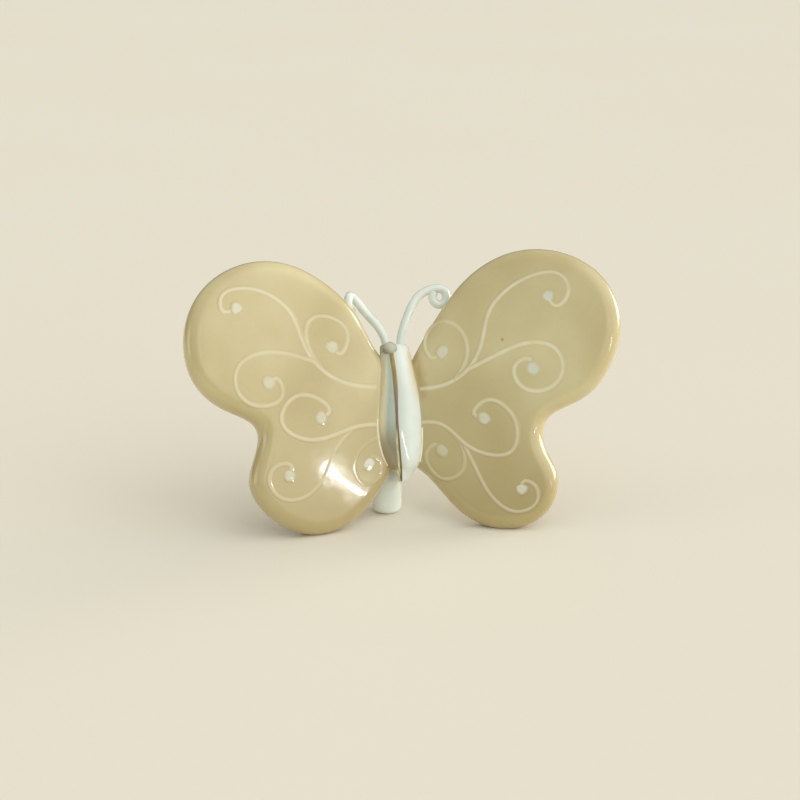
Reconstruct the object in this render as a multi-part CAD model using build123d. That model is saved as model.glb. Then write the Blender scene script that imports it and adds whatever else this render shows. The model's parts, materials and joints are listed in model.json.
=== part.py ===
from build123d import *

import os
from math import cos, radians, sin, sqrt

# Butterfly ornament: two crowned wings let into a roof-shaped body that leans back on a strut.
# Body frame: X to the right wing, Y to the back, Z up along the body, origin at mid body.
# The finished piece is leaned back and stood on its two hindwings and its tail foot.

# Stance, in degrees
lean_back = 20.5
wing_dihedral = 16.0

# Wings
wing_reach = 51.0
wing_height = 62.0
wing_rim = 4.4
wing_crown = 1.2
rim_round_front = 2.6
rim_round_back = 1.4
wing_root = 2.4
wing_centre_shares = (0.50, 0.05)

# Wing tongues and their slots in the body
tongue_length = 4.6
tongue_height = 15.0
tongue_thickness = 2.2
tongue_inset = 1.3
joint_gap = 0.1

# Body
body_length = 32.0
body_half_width = 5.2
body_crown = 6.8
body_edge = 4.0
body_back = 2.6
facet_bulge = 0.4
flank_bulge = 0.25
back_width_share = 0.70

# Head bead
head_radius = 1.6
head_left = 1.95
head_front = 3.4
head_drop = 0.8

# Antennae
right_root_radius = 1.65
left_root_radius = 0.95
right_root_share = 0.11
left_root_share = -0.50
right_mid_radius = 0.88
left_mid_radius = 0.58
antenna_tip_radius = 0.42
antenna_set_back = 0.2
antenna_spigot_radius = 0.7
antenna_spigot_depth = 1.5
right_antenna_reach_share = 0.199
left_antenna_reach_share = 0.204
right_antenna_top_share = 0.451
left_antenna_top_share = 0.433
antenna_taper_power = 3
antenna_rings = 18
curl_radius = 1.95
curl_width_share = 0.89
curl_close_share = 0.18
curl_steps = 6
curl_length_share = 0.30
right_curl_sweep = 280.0
left_curl_sweep = 250.0
left_curl_turn = 65.0

# Tail foot, a round strut behind the body
foot_radius = 3.45
foot_height = 19.0
foot_left = 3.15
foot_forward = 0.5
foot_round = 1.4
foot_top_round = 0.6
foot_land = 0.3

# Raised slip decoration and gilding
slip_width = 1.05
slip_height = 0.3
slip_steps_per_point = 2
dot_radius = 1.45
dot_height = 0.5
slip_seat = 0.02
gilding_thickness = 0.12
ridge_gilding_width = 1.0
seam_gilding_width = 0.45
left_seam_reach_shares = (-0.39, -0.06)
right_seam_reach_shares = (-0.39, -0.13)

# Wing outlines, from the top of the root round the forewing, the waist and the hindwing,
# as shares of wing_reach and wing_height
left_outline_shares = (
    (0.047, 0.165),
    (0.100, 0.218),
    (0.198, 0.361),
    (0.343, 0.477),
    (0.535, 0.548),
    (0.745, 0.535),
    (0.915, 0.439),
    (0.994, 0.284),
    (0.963, 0.124),
    (0.814, 0.011),
    (0.675, -0.062),
    (0.690, -0.155),
    (0.718, -0.253),
    (0.608, -0.389),
    (0.412, -0.445),
    (0.210, -0.378),
    (0.076, -0.247),
    (0.047, -0.213),
)
right_outline_shares = (
    (0.047, 0.165),
    (0.090, 0.225),
    (0.190, 0.348),
    (0.333, 0.482),
    (0.525, 0.563),
    (0.739, 0.558),
    (0.924, 0.465),
    (1.006, 0.305),
    (0.957, 0.135),
    (0.812, 0.008),
    (0.655, -0.065),
    (0.648, -0.158),
    (0.694, -0.252),
    (0.655, -0.382),
    (0.433, -0.450),
    (0.243, -0.371),
    (0.104, -0.239),
    (0.047, -0.200),
)

# Slip-trailed lines, each from the root or a fork to the dot that its curl ends in,
# as shares of wing_reach and wing_height
left_upper_lines = (
    ((0.060, 0.087), (0.253, 0.097), (0.384, 0.148), (0.469, 0.244), (0.520, 0.353), (0.604, 0.418),
     (0.749, 0.447), (0.837, 0.410), (0.831, 0.366), (0.771, 0.382)),
    ((0.425, 0.181), (0.553, 0.211), (0.678, 0.211), (0.773, 0.163), (0.776, 0.073), (0.669, 0.024),
     (0.575, 0.071), (0.604, 0.121), (0.637, 0.106)),
    ((0.384, 0.148), (0.453, 0.250), (0.435, 0.331), (0.327, 0.339), (0.259, 0.268), (0.306, 0.210),
     (0.331, 0.239)),
)
left_lower_lines = (
    ((0.080, -0.053), (0.224, -0.055), (0.357, -0.089), (0.498, -0.094), (0.584, -0.034), (0.547, 0.040),
     (0.435, 0.055), (0.363, -0.002), (0.402, -0.023)),
    ((0.255, -0.062), (0.341, -0.140), (0.402, -0.240), (0.484, -0.303), (0.600, -0.303), (0.647, -0.234),
     (0.590, -0.185), (0.549, -0.190), (0.555, -0.226)),
    ((0.080, -0.075), (0.150, -0.100), (0.233, -0.150), (0.251, -0.220), (0.200, -0.262), (0.130, -0.235),
     (0.118, -0.195), (0.160, -0.165), (0.182, -0.190)),
)
right_upper_lines = (
    ((0.060, 0.074), (0.239, 0.092), (0.337, 0.147), (0.396, 0.244), (0.431, 0.345), (0.504, 0.415),
     (0.641, 0.471), (0.751, 0.466), (0.782, 0.390), (0.724, 0.353), (0.694, 0.387)),
    ((0.320, 0.135), (0.469, 0.189), (0.606, 0.223), (0.716, 0.197), (0.745, 0.111), (0.663, 0.048),
     (0.553, 0.074), (0.543, 0.148), (0.600, 0.163), (0.606, 0.135)),
    ((0.263, 0.098), (0.325, 0.190), (0.298, 0.284), (0.227, 0.318), (0.160, 0.290), (0.139, 0.232),
     (0.167, 0.187), (0.200, 0.219)),
)
right_lower_lines = (
    ((0.070, -0.050), (0.196, -0.058), (0.286, -0.123), (0.384, -0.171), (0.504, -0.168), (0.535, -0.085),
     (0.482, -0.003), (0.394, 0.019), (0.345, -0.026), (0.390, -0.044)),
    ((0.286, -0.123), (0.337, -0.213), (0.406, -0.326), (0.520, -0.387), (0.604, -0.355), (0.602, -0.297),
     (0.551, -0.279), (0.541, -0.305)),
    ((0.215, -0.070), (0.275, -0.123), (0.294, -0.174), (0.282, -0.229), (0.200, -0.256), (0.137, -0.210),
     (0.125, -0.160), (0.169, -0.131), (0.186, -0.148)),
)

# Body stations from the flat top to the pointed end, as shares of body_length, and of
# body_half_width for the left edge, the right edge and the ridge, and of body_crown
body_station_shares = (
    (0.475, 0.85, 0.42, -0.42, 0.62),
    (0.410, 0.86, 0.50, -0.40, 0.76),
    (0.280, 0.90, 0.62, -0.37, 0.92),
    (0.090, 1.00, 0.81, -0.345, 1.00),
    (-0.125, 1.10, 0.88, -0.34, 1.00),
    (-0.310, 0.92, 0.84, -0.285, 0.93),
    (-0.430, 0.56, 0.50, -0.205, 0.76),
    (-0.520, 0.15, 0.17, -0.12, 0.40),
)

# Antenna stems from the root towards the curl, as shares of each antenna's reach and rise
right_stem_shares = ((0.10, 0.33), (0.20, 0.52), (0.33, 0.715), (0.53, 0.895), (0.74, 0.975))
left_stem_shares = ((0.10, 0.265), (0.226, 0.433), (0.345, 0.564), (0.58, 0.765), (0.79, 0.92))

# Worked out from the sizes above
crown_reach = wing_height / 2
crown_radius = (crown_reach**2 + wing_crown**2) / (2 * wing_crown)
wing_back = -wing_rim / 2
wing_front = wing_rim / 2 + wing_crown
body_top = body_station_shares[0][0] * body_length
dot_ball = (dot_radius**2 + dot_height**2) / (2 * dot_height)
right_antenna_root = right_root_share * body_half_width
left_antenna_root = left_root_share * body_half_width
right_antenna_reach = right_antenna_reach_share * wing_reach
left_antenna_reach = left_antenna_reach_share * wing_reach
right_antenna_rise = right_antenna_top_share * wing_height - body_top
left_antenna_rise = left_antenna_top_share * wing_height - body_top


def wing_frame(side):
    """Plane of a wing: local x away from the left wing, y along the body, z out of the front."""
    tilt = radians(wing_dihedral)
    x_axis = (cos(tilt), -side * sin(tilt), 0)
    front = (-side * sin(tilt), -cos(tilt), 0)
    return Plane(origin=(0, 0, 0), x_dir=x_axis, z_dir=front)


def wing_point(side, share):
    """A point of a wing's own drawing from its shares."""
    return (side * share[0] * wing_reach, share[1] * wing_height)


def crown_ball(side, proud=0.0):
    """The large ball whose cap is a wing's crowned front, or a surface proud of it, in the wing's frame."""
    centre = wing_point(side, wing_centre_shares)
    return Pos(centre[0], centre[1], wing_front - crown_radius) * side_on_ball(crown_radius + proud)


def side_on_ball(radius):
    """A ball turned so that its poles and seam are away from the cap that faces z."""
    return Rot(90, 0, 0) * Sphere(radius)


def body_section(station, grow):
    """One section of the body: a flat back, two round flanks and two facets that meet in a ridge."""
    along, left, right, ridge, crown = station
    left_x = -left * body_half_width - grow
    right_x = right * body_half_width + grow
    ridge_x = ridge * body_half_width
    front_y = -crown * body_crown - grow
    back_y = body_back * sqrt(crown) + grow
    edge_y = -crown * body_edge
    a = (left_x * back_width_share, back_y)
    b = (right_x * back_width_share, back_y)
    c = (right_x, edge_y)
    d = (ridge_x, front_y)
    e = (left_x, edge_y)
    outline = Line(a, b)
    for start, end, bulge in ((b, c, flank_bulge), (c, d, facet_bulge), (d, e, facet_bulge), (e, a, flank_bulge)):
        outline += bulged(start, end, bulge * crown)
    return Pos(0, 0, along * body_length) * make_face(outline)


def bulged(start, end, bulge):
    """An arc from start to end that stands out to its left by the bulge."""
    run = Vector(*end) - Vector(*start)
    outward = Vector(-run.Y, run.X).normalized()
    middle = (Vector(*start) + Vector(*end)) / 2 + outward * bulge
    return ThreePointArc(start, middle, end)


def body_form(grow=0.0):
    """The whole body as a loft, or the same form grown all round."""
    return loft([body_section(station, grow) for station in body_station_shares])


def tongue(side, gap=0.0):
    """The tongue at a wing's root, or its slot in the body when a gap is given."""
    length = tongue_length + 2 * gap
    block = Box(length, tongue_height + 2 * gap, tongue_thickness + 2 * gap)
    middle = side * (tongue_inset + tongue_length / 2)
    return wing_frame(side) * Pos(middle, 0, 0) * block


def wing_slab(side, shares):
    """A flat-backed slab with a crowned front and a rounded rim, in the wing's frame."""
    points = [wing_point(side, share) for share in shares]
    outline = Spline(*points) + Line(points[-1], points[0])
    slab = Pos(0, 0, wing_back) * extrude(make_face(outline), amount=wing_front - wing_back)
    slab = slab & crown_ball(side)
    front = slab.faces().filter_by(GeomType.SPHERE)[0]
    slab = fillet(rim_edges(front), rim_round_front)
    back = slab.faces().sort_by(Axis.Z)[0]
    return fillet(rim_edges(back), rim_round_back)


def rim_edges(face):
    """The edges of a wing's front or back, without the one at its root."""
    return [edge for edge in face.edges() if abs(edge.center().X) > wing_root + joint_gap]


def wing(side, shares):
    """A wing cut back to the body's flank, with its tongue."""
    slab = wing_frame(side) * wing_slab(side, shares)
    return largest(slab - body_form(joint_gap)) + tongue(side)


def largest(shape):
    """The solid of a cut shape that holds the most material."""
    return shape.solids().sort_by(SortBy.VOLUME)[-1]


def head_place():
    """Where the head bead sits, on the front edge of the body's flat top."""
    return Pos(-head_left, -head_front, body_top - head_drop)


def antenna_spigot(root_x, gap=0.0):
    """The thin end of an antenna, or its hole in the top of the body when a gap is given."""
    depth = antenna_spigot_depth + gap
    peg = Cylinder(antenna_spigot_radius + gap, depth, align=(Align.CENTER, Align.CENTER, Align.MAX))
    return Pos(root_x, antenna_set_back, body_top) * peg


def body():
    """The roof-shaped body with its wing slots, antenna holes and seat for the head."""
    solid = body_form()
    for side in (-1, 1):
        solid -= tongue(side, joint_gap)
    for root_x in (left_antenna_root, right_antenna_root):
        solid -= antenna_spigot(root_x, joint_gap)
    return largest(solid - head_place() * Sphere(head_radius + joint_gap))


def antenna_size(side):
    """How far out and how far up an antenna reaches."""
    if side > 0:
        return right_antenna_reach, right_antenna_rise
    return left_antenna_reach, left_antenna_rise


def curl_points(side, turn, sweep):
    """Points of an antenna's closing curl, turned about its upright axis."""
    reach, rise = antenna_size(side)
    middle = Vector(side * reach, antenna_set_back, body_top + rise - curl_radius)
    points = []
    for step in range(curl_steps + 1):
        done = step / curl_steps
        angle = radians(sweep * done)
        radius = curl_radius * (1 - curl_close_share * done)
        out = radius * curl_width_share * sin(angle)
        up = radius * cos(angle)
        points.append(middle + Vector(side * out * cos(radians(turn)), -out * sin(radians(turn)), up))
    return points


def antenna(side, root_x, root_radius, mid_radius, stem_shares, turn, sweep):
    """A hand-rolled tapering antenna: root on the body's top, stem, and curl."""
    reach, rise = antenna_size(side)
    points = [Vector(root_x, antenna_set_back, body_top)]
    for out, up in stem_shares:
        x = root_x + side * out * (reach - abs(root_x))
        points.append(Vector(x, antenna_set_back, body_top + up * rise))
    points += curl_points(side, turn, sweep)
    line = Spline(*points, tangents=((0, 0, 1), points[-1] - points[-2]))
    across = Vector(0, 1, 0).rotate(Axis.Z, -side * turn / 2)
    rings = []
    for ring in range(antenna_rings + 1):
        done = ring / antenna_rings
        stem_left = max(0, 1 - done / (1 - curl_length_share))
        curl_done = max(0, 1 - (1 - done) / curl_length_share)
        radius = mid_radius + (root_radius - mid_radius) * stem_left**antenna_taper_power
        radius += (antenna_tip_radius - mid_radius) * curl_done
        place = Plane(origin=line @ done, x_dir=across.cross(line % done), z_dir=line % done)
        rings.append(place * Circle(radius))
    return loft(rings) + antenna_spigot(root_x)


def left_antenna():
    """The thinner antenna, whose curl is turned to face sideways."""
    root = (left_antenna_root, left_root_radius, left_mid_radius)
    return antenna(-1, *root, left_stem_shares, left_curl_turn, left_curl_sweep)


def right_antenna():
    """The thicker antenna, whose curl faces the front."""
    root = (right_antenna_root, right_root_radius, right_mid_radius)
    return antenna(1, *root, right_stem_shares, 0, right_curl_sweep)


def surface_layer(shape, side, proud):
    """What a shape drawn through a wing keeps between its crowned front and a surface proud of it."""
    return shape & (crown_ball(side, proud) - crown_ball(side, slip_seat))


def dot_places(side, lines):
    """Where the dots sit: the end of each slip line."""
    return [wing_point(side, line[-1]) for line in lines]


def slip_dots(side, lines):
    """Round dots of slip, each the cap of a small ball that stands proud of the wing."""
    height = front_height(side)
    dots = []
    for x, y in dot_places(side, lines):
        dots.append(Pos(x, y, height(x, y) + dot_height - dot_ball) * side_on_ball(dot_ball))
    return [wing_frame(side) * largest(dot - crown_ball(side, slip_seat)) for dot in dots]


def front_height(side):
    """The height of a wing's crowned front above its middle plane, as a function of place."""
    centre = wing_point(side, wing_centre_shares)

    def height(x, y):
        away = (x - centre[0]) ** 2 + (y - centre[1]) ** 2
        return wing_front - crown_radius + sqrt(crown_radius**2 - away)

    return height


def ribbon(points):
    """A flat band of even width along a smooth line through some points."""
    route = Spline(*points)
    steps = slip_steps_per_point * len(points)
    one_side = []
    other_side = []
    for step in range(steps + 1):
        along = route % (step / steps)
        out = Vector(-along.Y, along.X) * slip_width / 2
        one_side.append(route @ (step / steps) + out)
        other_side.insert(0, route @ (step / steps) - out)
    ends = Line(one_side[-1], other_side[0]) + Line(other_side[-1], one_side[0])
    return make_face(Spline(*one_side) + Spline(*other_side) + ends)


def slip_lines(side, lines):
    """Curling lines of slip on one lobe of a wing, cut clear of the dots and the body."""
    drawing = Sketch() + [ribbon([wing_point(side, share) for share in line]) for line in lines]
    for x, y in dot_places(side, lines):
        drawing -= Pos(x, y) * Circle(dot_radius + joint_gap)
    raised = surface_layer(extrude(drawing, amount=wing_front + slip_height), side, slip_height)
    clear = wing_frame(side) * raised - body_form(joint_gap + seam_gilding_width)
    return [solid for solid in clear.solids() if solid.volume > slip_width**3]


def ridge_gilding():
    """A thin gilt strip bent over the body's ridge from the head to the pointed end."""
    skin = body_form(gilding_thickness) - body_form()
    stations = [(station[3] * body_half_width, station[0] * body_length) for station in body_station_shares]
    route = Spline(*stations)
    band = Plane.XZ * extrude(trace(route, ridge_gilding_width), amount=body_crown + body_back)
    return largest(skin & band - head_place() * Sphere(head_radius + joint_gap))


def seam_gilding(side, reach_shares):
    """A fine gilt line on a wing, along the lower half of the body's edge."""
    ring = body_form(joint_gap + seam_gilding_width) - body_form(joint_gap)
    low, high = [share * body_length for share in reach_shares]
    band = Pos(side * body_half_width, 0, (low + high) / 2) * Box(2 * body_half_width, body_length, high - low)
    layer = crown_ball(side, gilding_thickness) - crown_ball(side, slip_seat)
    return largest(ring & band & wing_frame(side) * layer)


def tail_foot(stand):
    """A round upright strut, cut off slanting where it seats on the body's flat back."""
    post = Cylinder(foot_radius, foot_height, align=(Align.CENTER, Align.CENTER, Align.MIN))
    ends = post.edges().filter_by(GeomType.CIRCLE).sort_by(Axis.Z)
    post = fillet(ends[0], foot_round)
    post = fillet(post.edges().filter_by(GeomType.CIRCLE).sort_by(Axis.Z)[-1], foot_top_round)
    middle = stand.position
    post = Pos(middle.X - foot_left, middle.Y - foot_forward, 0) * post
    front = Box(wing_reach, wing_reach, wing_height, align=(Align.CENTER, Align.MAX, Align.CENTER))
    return largest(post - stand * Pos(0, body_back, 0) * front)


def stance(pieces):
    """Lean the pieces back and stand them on the two hindwings, centred over the floor."""
    lean = Rot(-lean_back, 0, 0)
    boxes = {name: (lean * solid).bounding_box() for name, solid in pieces.items()}
    low = max(boxes[name].min.Z for name in ("left_wing", "right_wing")) + foot_land
    middle_x = (min(box.min.X for box in boxes.values()) + max(box.max.X for box in boxes.values())) / 2
    middle_y = (min(box.min.Y for box in boxes.values()) + max(box.max.Y for box in boxes.values())) / 2
    return Pos(-middle_x, -middle_y, -low) * lean


def floored(solid):
    """A standing wing with the flat land that it rests on."""
    floor = Box(2 * wing_reach, wing_reach, wing_rim, align=(Align.CENTER, Align.CENTER, Align.MAX))
    return solid - Pos(solid.center().X, 0, 0) * floor


def main():
    os.makedirs("parts", exist_ok=True)
    pieces = {
        "left_wing": wing(-1, left_outline_shares),
        "right_wing": wing(1, right_outline_shares),
        "body": body(),
        "head": head_place() * Sphere(head_radius),
        "left_antenna": left_antenna(),
        "right_antenna": right_antenna(),
        "ridge_gilding": ridge_gilding(),
        "left_seam_gilding": seam_gilding(-1, left_seam_reach_shares),
        "right_seam_gilding": seam_gilding(1, right_seam_reach_shares),
    }
    lobes = {
        "left_forewing": (-1, left_upper_lines),
        "left_hindwing": (-1, left_lower_lines),
        "right_forewing": (1, right_upper_lines),
        "right_hindwing": (1, right_lower_lines),
    }
    for lobe, (side, lines) in lobes.items():
        pieces[lobe + "_scrolls"] = Compound(slip_lines(side, lines))
        pieces[lobe + "_dots"] = Compound(slip_dots(side, lines))
    stand = stance(pieces)
    standing = {name: stand * solid for name, solid in pieces.items()}
    for name in ("left_wing", "right_wing"):
        standing[name] = floored(standing[name])
    standing["tail_foot"] = tail_foot(stand)
    for name, solid in standing.items():
        export_step(solid, "parts/" + name + ".step")


main()
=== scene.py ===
# %% [markdown]
# # A glazed butterfly ornament
# The ornament is a slip-decorated porcelain butterfly, about ten centimetres wide. Two crowned
# wings meet in a white body with a gilt ridge, and the whole leans back on a small round foot.
# The measured model comes in as a fixed frame, and every piece made here takes its place from it.

# %% Load the measured frame
import json
from math import cos, pi, radians, sin, sqrt

import bmesh
import bpy
import numpy as np
from mathutils import Matrix, Vector
from mathutils.geometry import delaunay_2d_cdt

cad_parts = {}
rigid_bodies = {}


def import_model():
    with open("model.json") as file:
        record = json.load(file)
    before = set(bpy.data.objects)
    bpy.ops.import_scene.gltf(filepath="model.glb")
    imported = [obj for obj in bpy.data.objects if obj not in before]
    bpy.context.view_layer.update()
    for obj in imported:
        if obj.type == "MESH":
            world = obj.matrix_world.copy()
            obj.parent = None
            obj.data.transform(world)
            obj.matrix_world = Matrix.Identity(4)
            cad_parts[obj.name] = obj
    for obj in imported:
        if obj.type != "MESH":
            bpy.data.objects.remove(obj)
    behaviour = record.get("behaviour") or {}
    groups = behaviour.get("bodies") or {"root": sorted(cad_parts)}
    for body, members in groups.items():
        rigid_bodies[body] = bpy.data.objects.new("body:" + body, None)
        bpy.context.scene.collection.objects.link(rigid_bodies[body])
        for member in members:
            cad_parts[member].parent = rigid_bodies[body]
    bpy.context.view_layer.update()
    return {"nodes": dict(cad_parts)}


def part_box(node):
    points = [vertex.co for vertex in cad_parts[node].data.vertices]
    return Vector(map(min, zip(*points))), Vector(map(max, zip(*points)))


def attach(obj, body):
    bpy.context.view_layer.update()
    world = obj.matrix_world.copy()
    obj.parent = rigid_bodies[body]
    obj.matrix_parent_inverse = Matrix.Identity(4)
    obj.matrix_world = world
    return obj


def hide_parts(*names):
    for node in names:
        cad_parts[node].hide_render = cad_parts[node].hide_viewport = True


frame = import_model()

scene = bpy.context.scene
print("nodes in the frame:", sorted(frame["nodes"]))

# %% [markdown]
# ## Where the drawings lie
# A potter would draw each wing flat on the bench. The script does the same: a wing's drawing is in
# millimetres, x away from the body, y up along it and z out of the front. One matrix stands that
# drawing up at the wing's angle, and a second leans the whole butterfly back, so no piece has to
# be turned by hand. The head's box gives the place of the body's own origin.

# %% Matrices from the drawings to the standing butterfly
mm = 0.001
lean_back = radians(20.5)
wing_dihedral = radians(16.0)
head_drawn = Vector((-1.95, -3.4, 14.4))

head_low, head_high = [Vector(corner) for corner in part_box("head")]
lean = Matrix.Rotation(-lean_back, 4, "X") @ Matrix.Scale(mm, 4)
origin = (head_low + head_high) / 2 - lean @ head_drawn
body_to_world = Matrix.Translation(origin) @ lean


def wing_to_world(side):
    """The matrix that stands a wing's flat drawing up; side is -1 for the left and 1 for the right."""
    away = Vector((cos(wing_dihedral), -side * sin(wing_dihedral), 0))
    front = Vector((-side * sin(wing_dihedral), -cos(wing_dihedral), 0))
    turned = Matrix((away, (0, 0, 1), front)).transposed()
    return body_to_world @ turned.to_4x4()


print("body origin in mm:", [round(value / mm, 2) for value in origin])

# %% [markdown]
# ## Smooth lines through few points
# Wing outlines, slip lines and antennae are all hand-drawn curves. A handful of points with a
# natural cubic spline through them keeps such a curve easy to change and free of kinks, where a
# long list of points would only copy one particular drawing.

# %% A smooth line through points


def smooth_line(points, count):
    """Evenly spaced points on a natural cubic spline through the given ones."""
    points = np.array(points, float)
    steps = np.linalg.norm(np.diff(points, axis=0), axis=1)
    at = np.concatenate(([0], np.cumsum(steps)))
    size = len(points)
    bend = np.zeros((size, size))
    pull = np.zeros_like(points)
    bend[0, 0] = bend[-1, -1] = 1
    for i in range(1, size - 1):
        bend[i, i - 1 : i + 2] = steps[i - 1], 2 * (steps[i - 1] + steps[i]), steps[i]
        pull[i] = 6 * ((points[i + 1] - points[i]) / steps[i] - (points[i] - points[i - 1]) / steps[i - 1])
    curve = np.linalg.solve(bend, pull)

    def place(t):
        i = np.clip(np.searchsorted(at, t, side="right") - 1, 0, size - 2)
        step = steps[i][:, None]
        before = (at[i + 1] - t)[:, None] / step
        after = 1 - before
        straight = before * points[i] + after * points[i + 1]
        swing = ((before**3 - before) * curve[i] + (after**3 - after) * curve[i + 1]) * step**2 / 6
        return straight + swing

    fine = place(np.linspace(0, at[-1], 40 * size))
    run = np.concatenate(([0], np.cumsum(np.linalg.norm(np.diff(fine, axis=0), axis=1))))
    even = np.linspace(0, run[-1], count)
    return np.stack([np.interp(even, run, fine[:, axis]) for axis in range(fine.shape[1])], axis=1)


# %% [markdown]
# ## Small helpers for node trees
# Geometry and shader trees are both built from nodes and links. A few short helpers make a node,
# a sum, a range or a whole group in either kind of tree, so that each tree below reads as its
# rule. Every geometry tree ends alike, so one helper makes that ending too.

# %% Node helpers


def add_node(tree, kind, settings=None, **inputs):
    """Adds a node, sets its options, and sets or links its inputs by socket name."""
    made = tree.nodes.new(kind)
    for name, value in (settings or {}).items():
        setattr(made, name, value)
    for name, value in inputs.items():
        feed(tree, made.inputs[name.replace("_", " ")], value)
    return made


def feed(tree, socket, value):
    """Links an output to a socket, or sets the socket to a plain value."""
    if isinstance(value, bpy.types.NodeSocket):
        tree.links.new(value, socket)
    else:
        socket.default_value = value


def sums(tree, operation, *values, clamp=False):
    """One Math node, fed in order with outputs or numbers."""
    made = tree.nodes.new("ShaderNodeMath")
    made.operation = operation
    made.use_clamp = clamp
    for socket, value in zip(made.inputs, values):
        feed(tree, socket, value)
    return made.outputs[0]


def ranged(tree, value, low, high, kind="LINEAR", to=(0.0, 1.0)):
    """How far a value has gone from low to high, as a share that stops at both ends."""
    return add_node(
        tree,
        "ShaderNodeMapRange",
        {"interpolation_type": kind},
        Value=value,
        From_Min=low,
        From_Max=high,
        To_Min=to[0],
        To_Max=to[1],
    ).outputs["Result"]


def new_tree(name, kind, inputs, outputs):
    """A node group with named inputs and outputs; each input is a name, a socket type and a value."""
    tree = bpy.data.node_groups.new(name, kind)
    for label, socket_type, value in inputs:
        socket = tree.interface.new_socket(label, in_out="INPUT", socket_type=socket_type)
        if value is not None:
            socket.default_value = value
    for label, socket_type in outputs:
        tree.interface.new_socket(label, in_out="OUTPUT", socket_type=socket_type)
    return tree, tree.nodes.new("NodeGroupInput").outputs, tree.nodes.new("NodeGroupOutput").inputs


def finish_shape(tree, shape, given, put):
    """Ends a geometry tree: smooth shading, instances realised and the material set."""
    smooth = add_node(tree, "GeometryNodeSetShadeSmooth", Geometry=shape)
    whole = add_node(tree, "GeometryNodeRealizeInstances", Geometry=smooth.outputs[0])
    coated = add_node(
        tree, "GeometryNodeSetMaterial", Geometry=whole.outputs[0], Material=given["Material"]
    )
    feed(tree, put, coated.outputs[0])


def run_tree(name, source, tree, values, place):
    """Runs a geometry tree on an object, keeps the result as a plain mesh and puts it in place."""
    modifier = source.modifiers.new(tree.name, "NODES")
    modifier.node_group = tree
    for item in tree.interface.items_tree:
        if item.in_out == "INPUT" and item.name in values:
            modifier[item.identifier] = values[item.name]
    evaluated = source.evaluated_get(bpy.context.evaluated_depsgraph_get())
    mesh = bpy.data.meshes.new_from_object(evaluated)
    mesh.transform(place)
    source_data = source.data
    bpy.data.objects.remove(source)
    if source_data.users == 0:
        (bpy.data.curves if isinstance(source_data, bpy.types.Curve) else bpy.data.meshes).remove(source_data)
    return add_piece(name, mesh)


def add_piece(name, mesh):
    """An object at the origin that shows a finished mesh."""
    mesh.name = name
    piece = bpy.data.objects.new(name, mesh)
    scene.collection.objects.link(piece)
    print(f"{name}: {len(mesh.polygons)} faces")
    return piece


def drawn_curve(name, lines):
    """A curve object with one straight-run spline for each list of points."""
    curve = bpy.data.curves.new(name, "CURVE")
    curve.dimensions = "3D"
    for points in lines:
        spline = curve.splines.new("POLY")
        spline.points.add(len(points) - 1)
        for point, where in zip(spline.points, points):
            point.co = (*where, 1)
    drawn = bpy.data.objects.new(name, curve)
    scene.collection.objects.link(drawn)
    return drawn


# %% [markdown]
# ## Glaze that varies
# A fired glaze is never one flat colour. It pools and thins, so its tone drifts over a few
# centimetres, and a finer mottle lies over that. One shader group holds both drifts, and each
# glaze below places it with its own two colours.

# %% Shader group: drifting glaze colour


def paint(red, green, blue):
    """A screen colour from 0 to 255 as the linear colour that a shader takes."""
    return (*[((c / 255 + 0.055) / 1.055) ** 2.4 if c > 10 else c / 3294 for c in (red, green, blue)], 1)


def mix_colours(tree, mask, first, second):
    """Blends two colours by a mask."""
    mixed = add_node(tree, "ShaderNodeMix", {"data_type": "RGBA"}, Factor=mask)
    feed(tree, mixed.inputs[6], first)
    feed(tree, mixed.inputs[7], second)
    return mixed.outputs[2]


def drift_group():
    """Mixes two colours by a broad drift and a fine mottle, both fixed to the object."""
    tree, given, put = new_tree(
        "glaze drift",
        "ShaderNodeTree",
        [
            ("Pale", "NodeSocketColor", paint(230, 215, 180)),
            ("Deep", "NodeSocketColor", paint(190, 165, 120)),
            ("Broad Size", "NodeSocketFloat", 60.0),
            ("Fine Size", "NodeSocketFloat", 900.0),
            ("Fine Share", "NodeSocketFloat", 0.2),
        ],
        [("Color", "NodeSocketColor")],
    )
    where = add_node(tree, "ShaderNodeTexCoord").outputs["Object"]
    broad = add_node(
        tree, "ShaderNodeTexNoise", Vector=where, Scale=given["Broad Size"], Detail=2.0, Roughness=0.5
    )
    fine = add_node(
        tree, "ShaderNodeTexNoise", Vector=where, Scale=given["Fine Size"], Detail=3.0, Roughness=0.6
    )
    spread = ranged(tree, broad.outputs["Fac"], 0.32, 0.68)
    fine_part = sums(tree, "MULTIPLY", sums(tree, "SUBTRACT", fine.outputs["Fac"], 0.5), given["Fine Share"])
    amount = sums(tree, "ADD", spread, fine_part, clamp=True)
    feed(tree, put["Color"], mix_colours(tree, amount, given["Pale"], given["Deep"]))
    return tree


glaze_drift = drift_group()

# %% [markdown]
# ## The skin of a glaze
# Gloss gives pottery away: the surface is glassy but lies in shallow waves, with a pinhole here
# and there and faint scuffs where it has been handled. This group gives a height for the Bump
# node and a roughness, so every glaze gets the same kind of skin at its own strength.

# %% Shader group: waves, pinholes and handling marks
pinhole_depth = 0.00004


def rare_spots(tree, where, scale, channel, rarity):
    """A mask of small round spots, in few of the cells that a Voronoi pattern makes."""
    cells = add_node(tree, "ShaderNodeTexVoronoi", Vector=where, Scale=scale)
    spots = ranged(tree, cells.outputs["Distance"], 0.045, 0.02)
    draw = add_node(tree, "ShaderNodeSeparateColor", Color=cells.outputs["Color"]).outputs[channel]
    return sums(tree, "MULTIPLY", spots, sums(tree, "GREATER_THAN", draw, rarity))


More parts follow.
